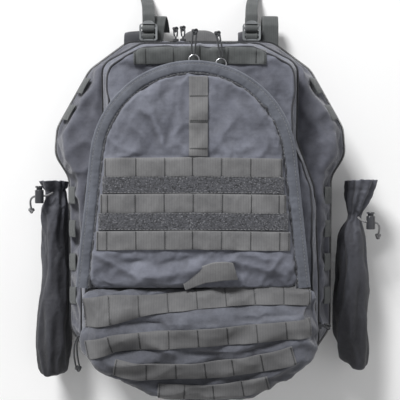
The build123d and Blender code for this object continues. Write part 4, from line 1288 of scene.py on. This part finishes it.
def pouch(side):
    sections = POUCHES[side][::-1]
    seed = POUCH_SEED[side]

    def at(y, column):
        return np.interp(y, [s[0] for s in sections], [s[column] for s in sections])

    foot, mouth = sections[0][0], sections[-1][0]
    drawn_in = {foot + 0.5: 0.70, foot + 3: 0.88, foot + 9: 0.97}
    turns = np.linspace(0, 2 * math.pi, 120, endpoint=False)
    rings = []
    for y in list(drawn_in) + list(np.linspace(foot + 20, mouth, 34)) + [mouth + PAST_RIM]:
        tuck = drawn_in.get(y, 1.0) * 0.97
        rings.append(np.column_stack([at(y, 1) + at(y, 3) * tuck * np.cos(turns), np.full(len(turns), y),
                                      at(y, 2) + at(y, 4) * tuck * np.sin(turns)]))
    bag = remesh(loft(f"pouch_bag_{side}", rings), FINE_VOXEL)
    cut(bag, (0, mouth, 0), (0, 1, 0))
    smooth_steps(bag, 0.5, 6)
    pts = points_of(bag)
    angle = np.arctan2(pts[:, 2] - at(pts[:, 1], 2), pts[:, 0] - at(pts[:, 1], 1))
    gathered = step(pts[:, 1], mouth - 95, mouth - 20)
    ruffle = np.sin(angle * 9 + 1.5 * np.sin(angle * 2 + seed) + pts[:, 1] / 17) * 2.6 * gathered
    ruffle += np.sin(angle * 15 + seed) * 0.9 * step(pts[:, 1], mouth - 30, mouth)
    folds = 5.0 * creases(pts, (24, 120, 26), seed) - 3.6 + 2.6 * waves(pts, (40, 50, 40), seed + 3)
    hem = -1.6 * np.exp(-((pts[:, 1] - (mouth - 15)) / 2.2) ** 2)
    ruffle = np.minimum(ruffle, 1.4)
    displace(bag, lambda _: np.minimum(ruffle + folds * (1 - 0.6 * gathered) + hem, 2.0))
    cloth(bag, 0.9 * step(points_of(bag)[:, 1], mouth - 22, mouth - 4), pressure=1.5, slack=0.08, cap=4.0,
          bend=0.2)
    pts = points_of(bag)
    pts[pts[:, 2] < 1.5, 2] = 1.5
    move_points(bag, pts)
    shade(thicken(subdivide(bag), POUCH_THICK))
    finish_piece(bag, "pack_back", POUCH_FABRIC, [f"pouch_{side}"])


for side in SIDES:
    pouch(side)


# --- straps and pads ---------------------------------------------------------------------
def strap_surface(name, route, radius, width, thickness, x, lean=0.0):
    """Webbing or padding that follows a side-on route, with soft edges."""
    pts = open_line(route, radius, max(20, int(length_of(route) / 2.2)))
    along, _ = directions(pts)
    centres, sideways, lifts = [], [], []
    for k, (p, a) in enumerate(zip(pts, along)):
        s = k / (len(pts) - 1)
        up = Vector((0, -a[1], a[0]))
        centres.append(Vector((x + lean * step(s, 0.5, 1.0) * s, p[0], p[1])) + up * thickness / 2)
        sideways.append(Vector((1, 0, 0)))
        lifts.append(up)
    return ribbon(name, centres, sideways, lifts, width, thickness, across=10, crown=0.15)


def pad(name, node):
    """A foam pad: its CAD solid drawn in a little, made even and blown up as cloth."""
    obj = smooth_steps(remesh(add(name, NODES[node].data.copy()), FINE_VOXEL), 0.5, 4)
    normals = normals_of(obj)
    pts = points_of(obj) - normals * 1.2
    low = pts[:, 2].min()
    cushion = 0.7 * waves(pts, (30, 30, 30), 51)
    move_points(obj, pts + normals * cushion[:, None] * step(pts[:, 2], low + 1, low + 5)[:, None])
    pts = points_of(obj)
    held = 1 - step(pts[:, 2], low + 0.5, low + 3)
    cloth(obj, held, pressure=3.0, slack=0.01, cap=2.0, bend=1.0)
    pts = points_of(obj)
    floor_at = points_of(NODES[node])[:, 2].min()
    pts[:, 2] = np.where(pts[:, 2] < low + 1.0, floor_at + 0.02, pts[:, 2])
    move_points(obj, pts)
    shade(subdivide(obj))
    finish_piece(obj, "pack_back", MESH_CLOTH, [node])


pad("back_pad_spine", "spine_pad")
pad("back_pad_lumbar", "lumbar_pad")

# mesh back panel: a quilted sheet with sewn channels
BACK_SCALE = (0.91, 0.905)
back_rings = levels(BODY, BODY_R, BACK_SCALE, BACK_SCALE, PANEL_Z,
                    ((0, -3), (1.2, -0.6), (3.5, 0), (6, -0.6), (7, -3)))
back = remesh(loft("mesh_back_panel", back_rings), FINE_VOXEL)
pts = points_of(back)
channel = np.exp(-((np.abs(pts[:, 0]) - 118) / 3.0) ** 2) + np.exp(-((pts[:, 1] + 95) / 3.0) ** 2)
under = 1 - step(pts[:, 2], 25, 28)
pts[:, 2] += under * np.clip(2.0 * channel + 0.5 * waves(pts, (30, 30, 30), 53), 0, 3)
move_points(back, pts)
finish_piece(shade(subdivide(back)), "pack_back", MESH_CLOTH, ["back_panel"])

STRAP_ROUTE = [(165, 18), (241, 18), (268, 28.4), (289.4, 28.4), (289.4, 5.6), (-58, 5.6)]
LIFTER_ROUTE = [(264, 35.0), (311, 35.3), (311, 37.8), (288, 37.8), (288, 49.2), (297.2, 49.2),
                (297.2, 41.6), (316, 41.2), (334, 30), (352, 6), (366, 1.5), (392, 1.5)]
LOWER_WEB_ROUTE = [(-230, 22.9), (-212, 22.9), (-192, 1.3), (-79.5, 1.3), (-79.5, 12.2),
                   (-89.2, 12.2), (-89.2, 4.4), (-96, 3.5), (-140, 3.5)]




def flat_ring(count, square_across, square_up):
    """Points round a flattened section from -1 to 1, squarer where the powers are smaller."""
    turns = np.linspace(0, 2 * math.pi, count, endpoint=False)
    return [(math.copysign(abs(math.cos(a)) ** square_across, math.cos(a)),
             math.copysign(abs(math.sin(a)) ** square_up, math.sin(a))) for a in turns]


KEEPER_ROUTE = [(-50, 5.2), (-60, 4.4), (-68, 5.4), (-74, 4.9), (-77.2, 8.8), (-74, 12.7), (-66, 12.4),
                (-52, 11.8)]
STRAP_LOOP_ROUTE = [(186, 24.6), (240, 24.6), (266, 34.6), (300, 37), (318, 30), (312, 16), (294.8, 8)]
STRAP_LOOP_AT = {"left": (-70, 9), "right": (110, 0)}       # x, and how far its end leans over
ANCHOR_WIDTH, TAIL_WIDTH, TAIL_THICK = 18, 19.6, 1.5


def shoulder_strap(side):
    sign = SIDES[side]
    x = sign * STRAP_X
    line = open_line(STRAP_ROUTE, 11.3, 200)
    along, _ = directions(line)
    rings = []
    count = len(line)
    for k, ((y, z), a) in enumerate(zip(line, along)):
        s = k / (count - 1)
        from_end = min(1.0, min(s, 1 - s) * count / 5)      # the last five points round the end off
        end = math.sqrt(max(0.0, 1 - (1 - from_end) ** 2))
        half_w = (STRAP_W / 2 - 1.0) * (0.80 + 0.20 * end)
        half_t = 4.9 * (0.35 + 0.65 * end)
        rings.append([(x + half_w * across, y - a[1] * half_t * up, z + a[0] * half_t * up)
                      for across, up in flat_ring(48, 0.35, 0.60)])
    strap = remesh(loft(f"strap_padding_{side}", rings), FINE_VOXEL)
    smooth_steps(strap, 0.5, 3)

    def bumps(pts):
        inward = STRAP_W / 2 - np.abs(pts[:, 0] - x)
        seam = (1 - step(inward, 6, 9)) * step(inward, 3, 5.5)
        return 0.8 * waves(pts, (24, 16, 16), 57) - 0.4 - 1.2 * seam

    displace(strap, bumps)
    cloth(strap, np.zeros(len(strap.data.vertices)), pressure=2.0, slack=0.02, cap=1.2, bend=0.8)
    pts = points_of(strap)
    pts[:, 2] = np.maximum(pts[:, 2], 0.15)
    move_points(strap, pts)
    shade(subdivide(strap))
    finish_piece(strap, "pack_back", SHADE_FABRIC, [f"shoulder_strap_{side}"])
    keeper = strap_surface(f"strap_end_{side}", KEEPER_ROUTE, 3, ANCHOR_WIDTH, 1.4, x)
    finish_piece(keeper, "pack_back", DARK_WEB)
    # webbing sewn over the fold at the top, standing up in a loop
    at, lean = STRAP_LOOP_AT[side]
    band = strap_surface(f"strap_webbing_{side}", STRAP_LOOP_ROUTE, 9, WEBBING, TAIL_THICK, at, lean=lean)
    finish_piece(band, "pack_back", DARK_WEB)


for side, sign in SIDES.items():
    shoulder_strap(side)
    tail = strap_surface(f"lifter_tail_{side}", LIFTER_ROUTE, 6, TAIL_WIDTH, TAIL_THICK,
                          sign * LOCK_X, lean=sign * 13.0)
    finish_piece(tail, "pack_back", DARK_WEB, [f"lifter_web_{side}"])
    low = strap_surface(f"lower_strap_{side}", LOWER_WEB_ROUTE, 3, TAIL_WIDTH, TAIL_THICK,
                         sign * STRAP_X)
    finish_piece(low, "pack_back", DARK_WEB, [f"lower_web_{side}"])
ANCHOR_ROUTE = [(256.8, 37.9), (271, 38.2), (279, 41.6), (282, 42.4), (285.4, 45.8), (282, 49.2),
                (277, 47.6), (268, 40.6), (257.4, 39.9)]
anchors = [strap_surface(f"anchor_{side}", ANCHOR_ROUTE, 3, ANCHOR_WIDTH, 1.3, sign * LOCK_X)
           for side, sign in SIDES.items()]
finish_piece(join_pieces("lifter_anchor_loops", anchors), "pack_back", DARK_WEB,
             ["lifter_anchors"])


HANDLE_HALF, HANDLE_Z = 9.6, 22.2


def grab_handle():
    """Webbing folded into a loop and sewn flat where it meets the pack."""
    line = open_line([(-24, 227), (-24, 286), (24, 286), (24, 227)], 20, 90)
    rings = []
    for k, (p, out) in enumerate(zip(line, directions(line)[1])):
        puff = 1 + 0.08 * noise.noise(Vector((k / 6, 4, 0)))
        rings.append([(*(p + out * HANDLE_HALF * across), HANDLE_Z + 1.9 * puff * up)
                      for across, up in flat_ring(20, 0.5, 0.7)])
    return shade(ringed("haul_handle", rings, ends=True))


finish_piece(grab_handle(), "pack_back", WEB, ["grab_handle"])


# --- hard pieces: the CAD shapes with their edges rounded -----------------------------------
def refined(node, slot, material, width):
    obj = add(f"{node}_moulding", NODES[node].data.copy())
    obj.modifiers.new("weld", "WELD").merge_threshold = 0.01 * MM
    shade(bevel(obj, width, 3, 35))
    finish_piece(obj, NODES[node]["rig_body"], material, [node])


MOULDINGS = {"upper_ladderlock": ("buckle_plastic", BUCKLE, 0.6),
             "lower_ladderlock": ("buckle_plastic", BUCKLE, 0.6),
             "cord_lock": ("lock_plastic", LOCK_PLASTIC, 0.3),
             "lock_button": ("lock_plastic", LOCK_PLASTIC, 0.3),
             "main_slider": ("slider_metal", SLIDER_METAL, 0.3),
             "arch_slider": ("slider_metal", SLIDER_METAL, 0.3)}
for side in SIDES:
    for start, look in MOULDINGS.items():
        refined(f"{start}_{side}", *look)
for node in ("mid_slider", "lower_slider"):
    refined(node, *MOULDINGS["main_slider"])
CARRIED = {"frame_sheet": SHEET_PLASTIC, "inner_sleeve": LINING, "elastic_loops": ELASTIC,
           "lock_spring_left": SPRING_METAL, "lock_spring_right": SPRING_METAL,
           "pull_ring_left": RING_METAL, "pull_ring_right": RING_METAL}
for node, material in CARRIED.items():
    NODES[node].data.materials.clear()
    NODES[node].data.materials.append(material)
    shade(NODES[node])
for side in SIDES:
    spring = NODES[f"lock_spring_{side}"]
    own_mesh(spring)


# --- cords -------------------------------------------------------------------------------
def spline_piece(name, route, diameter):
    """A cord as one NURBS spline with the route's points as its control points."""
    data = bpy.data.curves.new(name, "CURVE")
    data.dimensions = "3D"
    data.bevel_depth = diameter / 2 * MM
    data.bevel_resolution = 4
    data.use_fill_caps = True
    spline = data.splines.new("NURBS")
    spline.points.add(len(route) - 1)
    for point, place in zip(spline.points, route):
        point.co = (place[0] * MM, place[1] * MM, place[2] * MM, 1)
    spline.order_u = 3
    spline.use_endpoint_u = True
    spline.resolution_u = 12
    return add(name, data)


def knot(name, centre, strand, body, material):
    """An overhand knot pulled tight: a strand that follows a trefoil."""
    points, count = [], 90
    for k in range(count):
        t = 2 * math.pi * k / count
        points.append(Vector((math.sin(t) + 2 * math.sin(2 * t), math.cos(t) - 2 * math.cos(2 * t),
                              -1.3 * math.sin(3 * t))) * ((KNOT_SIZE - strand / 2) / 3.0))
    rings = [circle(Vector(centre) + p, (points[(k + 1) % count] - points[k - 1]).normalized(),
                    Vector((0.3, 0.2, 1)), strand / 2, 10) for k, p in enumerate(points)]
    return finish_piece(shade(ringed(name, rings, closed=True)), body, material)


PULL_D, DRAW_D, KNOT_SIZE = 2.4, 3.0, 5.0
PULLS = {
    "arch_pull_left": ([(-11.0, 226.2, 186.2), (-11.6, 235, 187.6), (-10.6, 244.5, 188.2),
                        (-9.7, 252.6, 187.4), (-9.6, 258.2, 186.6), (-4.4, 258.4, 186.4),
                        (-4.7, 252.8, 187.2), (-5.9, 244, 188.0), (-6.3, 235, 187.4),
                        (-7.4, 226.2, 186.2)], (-7.1, 256.4, 186.6), 68.0, "pull_ring_left"),
    "arch_pull_right": ([(28.0, 222.0, 186.2), (25.7, 232.6, 187.6), (24.3, 241.4, 188.2),
                         (22.3, 249.6, 187.4), (20.9, 254.4, 186.6), (26.0, 255.6, 186.4),
                         (27.0, 250.6, 187.2), (28.3, 242, 188.0), (30.2, 233.4, 187.4),
                         (31.4, 222.2, 186.2)], (23.7, 253.4, 186.6), 70.6, "pull_ring_right"),
    "main_pull_left": ([(-38.4, 273.4, 79.6), (-39.2, 278.0, 78.9), (-39.7, 282.4, 76.8),
                        (-39.8, 286.3, 73.9), (-34.6, 286.5, 73.7), (-34.2, 282.6, 76.7),
                        (-34.0, 278.0, 78.8), (-34.6, 273.4, 79.6)], (-37.2, 285.0, 74.8), 32.5,
                       "main_slider_left"),
    "main_pull_right": ([(-27.4, 273.4, 79.6), (-28.2, 278.4, 78.9), (-28.7, 283.4, 77.0),
                         (-28.8, 287.8, 74.4), (-23.6, 288, 74.2), (-23.2, 283.6, 76.9),
                         (-23.0, 278.4, 78.8), (-23.6, 273.4, 79.6)], (-26.2, 286.4, 75.2), 34.6,
                        "main_slider_right"),
    "mid_pull": ([(175.4, -148.0, 151.4), (179.8, -148.2, 148.8), (182.1, -149.3, 143.8),
                  (182.6, -150.9, 138.6), (182.7, -156.1, 138.2), (182.2, -154.4, 143.4),
                  (179.7, -153.0, 148.6), (175.4, -152.0, 151.4)], (182.5, -153.4, 139.2), 35.5,
                 "mid_slider"),
    "lower_pull": ([(-165.9, -157.8, 186.0), (-170.4, -165.4, 184.4), (-172.4, -175.6, 181.8),
                    (-173.0, -185.8, 178.4), (-172.4, -195.4, 174.4), (-171.6, -203.0, 170.6),
                    (-170.8, -208.0, 167.6), (-165.8, -209.4, 167.2), (-166.6, -203.0, 170.6),
                    (-167.6, -195.4, 174.6), (-168.4, -186.2, 178.2), (-168.6, -176.6, 181.4),
                    (-168.4, -168.4, 183.8), (-165.9, -161.6, 185.4)], (-168.6, -206.2, 169.0), 110.1,
                   "lower_slider"),
}


def knotted_cord(name, route, knot_at, body, diameter, material):
    tied = knot(f"{name}_knot", knot_at, diameter, body, material)
    line = spline_piece(f"{name}_cord", route, diameter)
    finish_piece(line, body, material, [name])


for name, (route, knot_at, length, body) in PULLS.items():
    knotted_cord(name, route, knot_at, body, PULL_D, PULL_CORD)

DRAWCORDS = {
    "left": ([(-222, 38, 79.4), (-226.2, 34.6, 84.8), (-232.4, 33, 88), (-247.6, 33, 88),
              (-253.4, 28.6, 86.4), (-255, 21, 82.2), (-254.4, 13.4, 77.6)], (-254.4, 11.4, 76.4), 54.3),
    "right": ([(238.6, 1, 75.8), (242.2, -3.6, 81), (248.4, -6, 84), (263.6, -6, 84),
               (269, -10.6, 82), (270.6, -18.4, 77.6), (269.8, -26, 72.8)], (269.8, -27.8, 71.8), 54.9),
}
for side, (route, knot_at, length) in DRAWCORDS.items():
    knotted_cord(f"drawcord_{side}", route, knot_at, "pack_back", DRAW_D, DRAW_CORD)


# --- floor, light and camera -------------------------------------------------------------
CAMERA_AT = (0.0, 0.027, 1.2)          # metres, as all of this section
LENS, SENSOR = 67.0, 36.0
LIGHT_AIM = Vector((0, 0, 0.1))
WORLD_LIGHT = 0.33


def stage():
    bpy.ops.mesh.primitive_plane_add(size=40, location=(0, 0, 0))
    floor = bpy.context.object
    floor.name = "floor"
    n = Nodes("floor")
    patches = n.spread(n.noise(900, 2), 0.3, 0.7)
    n.finish(n.mix_colour(patches, (0.93, 0.93, 0.93, 1), (0.96, 0.96, 0.96, 1)), 0.9)
    floor.data.materials.append(n.mat)


def area_light(name, location, size, power):
    data = bpy.data.lights.new(name, "AREA")
    data.size = size
    data.energy = power
    lamp = add(name, data)
    lamp.location = location
    lamp.rotation_euler = (LIGHT_AIM - Vector(location)).to_track_quat("-Z", "Y").to_euler()


stage()
area_light("key", (-1.7, 3.3, 2.7), 1.3, 235)
area_light("fill", (1.3, 0.2, 1.8), 1.6, 4)
area_light("low fill", (-0.2, -1.6, 1.5), 1.6, 3)
world = bpy.data.worlds.new("studio")
bpy.context.scene.world = world
world.use_nodes = True
background = world.node_tree.nodes["Background"]
background.inputs["Color"].default_value = (1, 1, 1, 1)
background.inputs["Strength"].default_value = WORLD_LIGHT
bpy.context.scene.view_settings.view_transform = "Standard"

camera_data = bpy.data.cameras.new("camera")
camera_data.lens = LENS
camera_data.sensor_width = SENSOR
camera = add("camera", camera_data)
camera.location = CAMERA_AT
bpy.context.scene.camera = camera
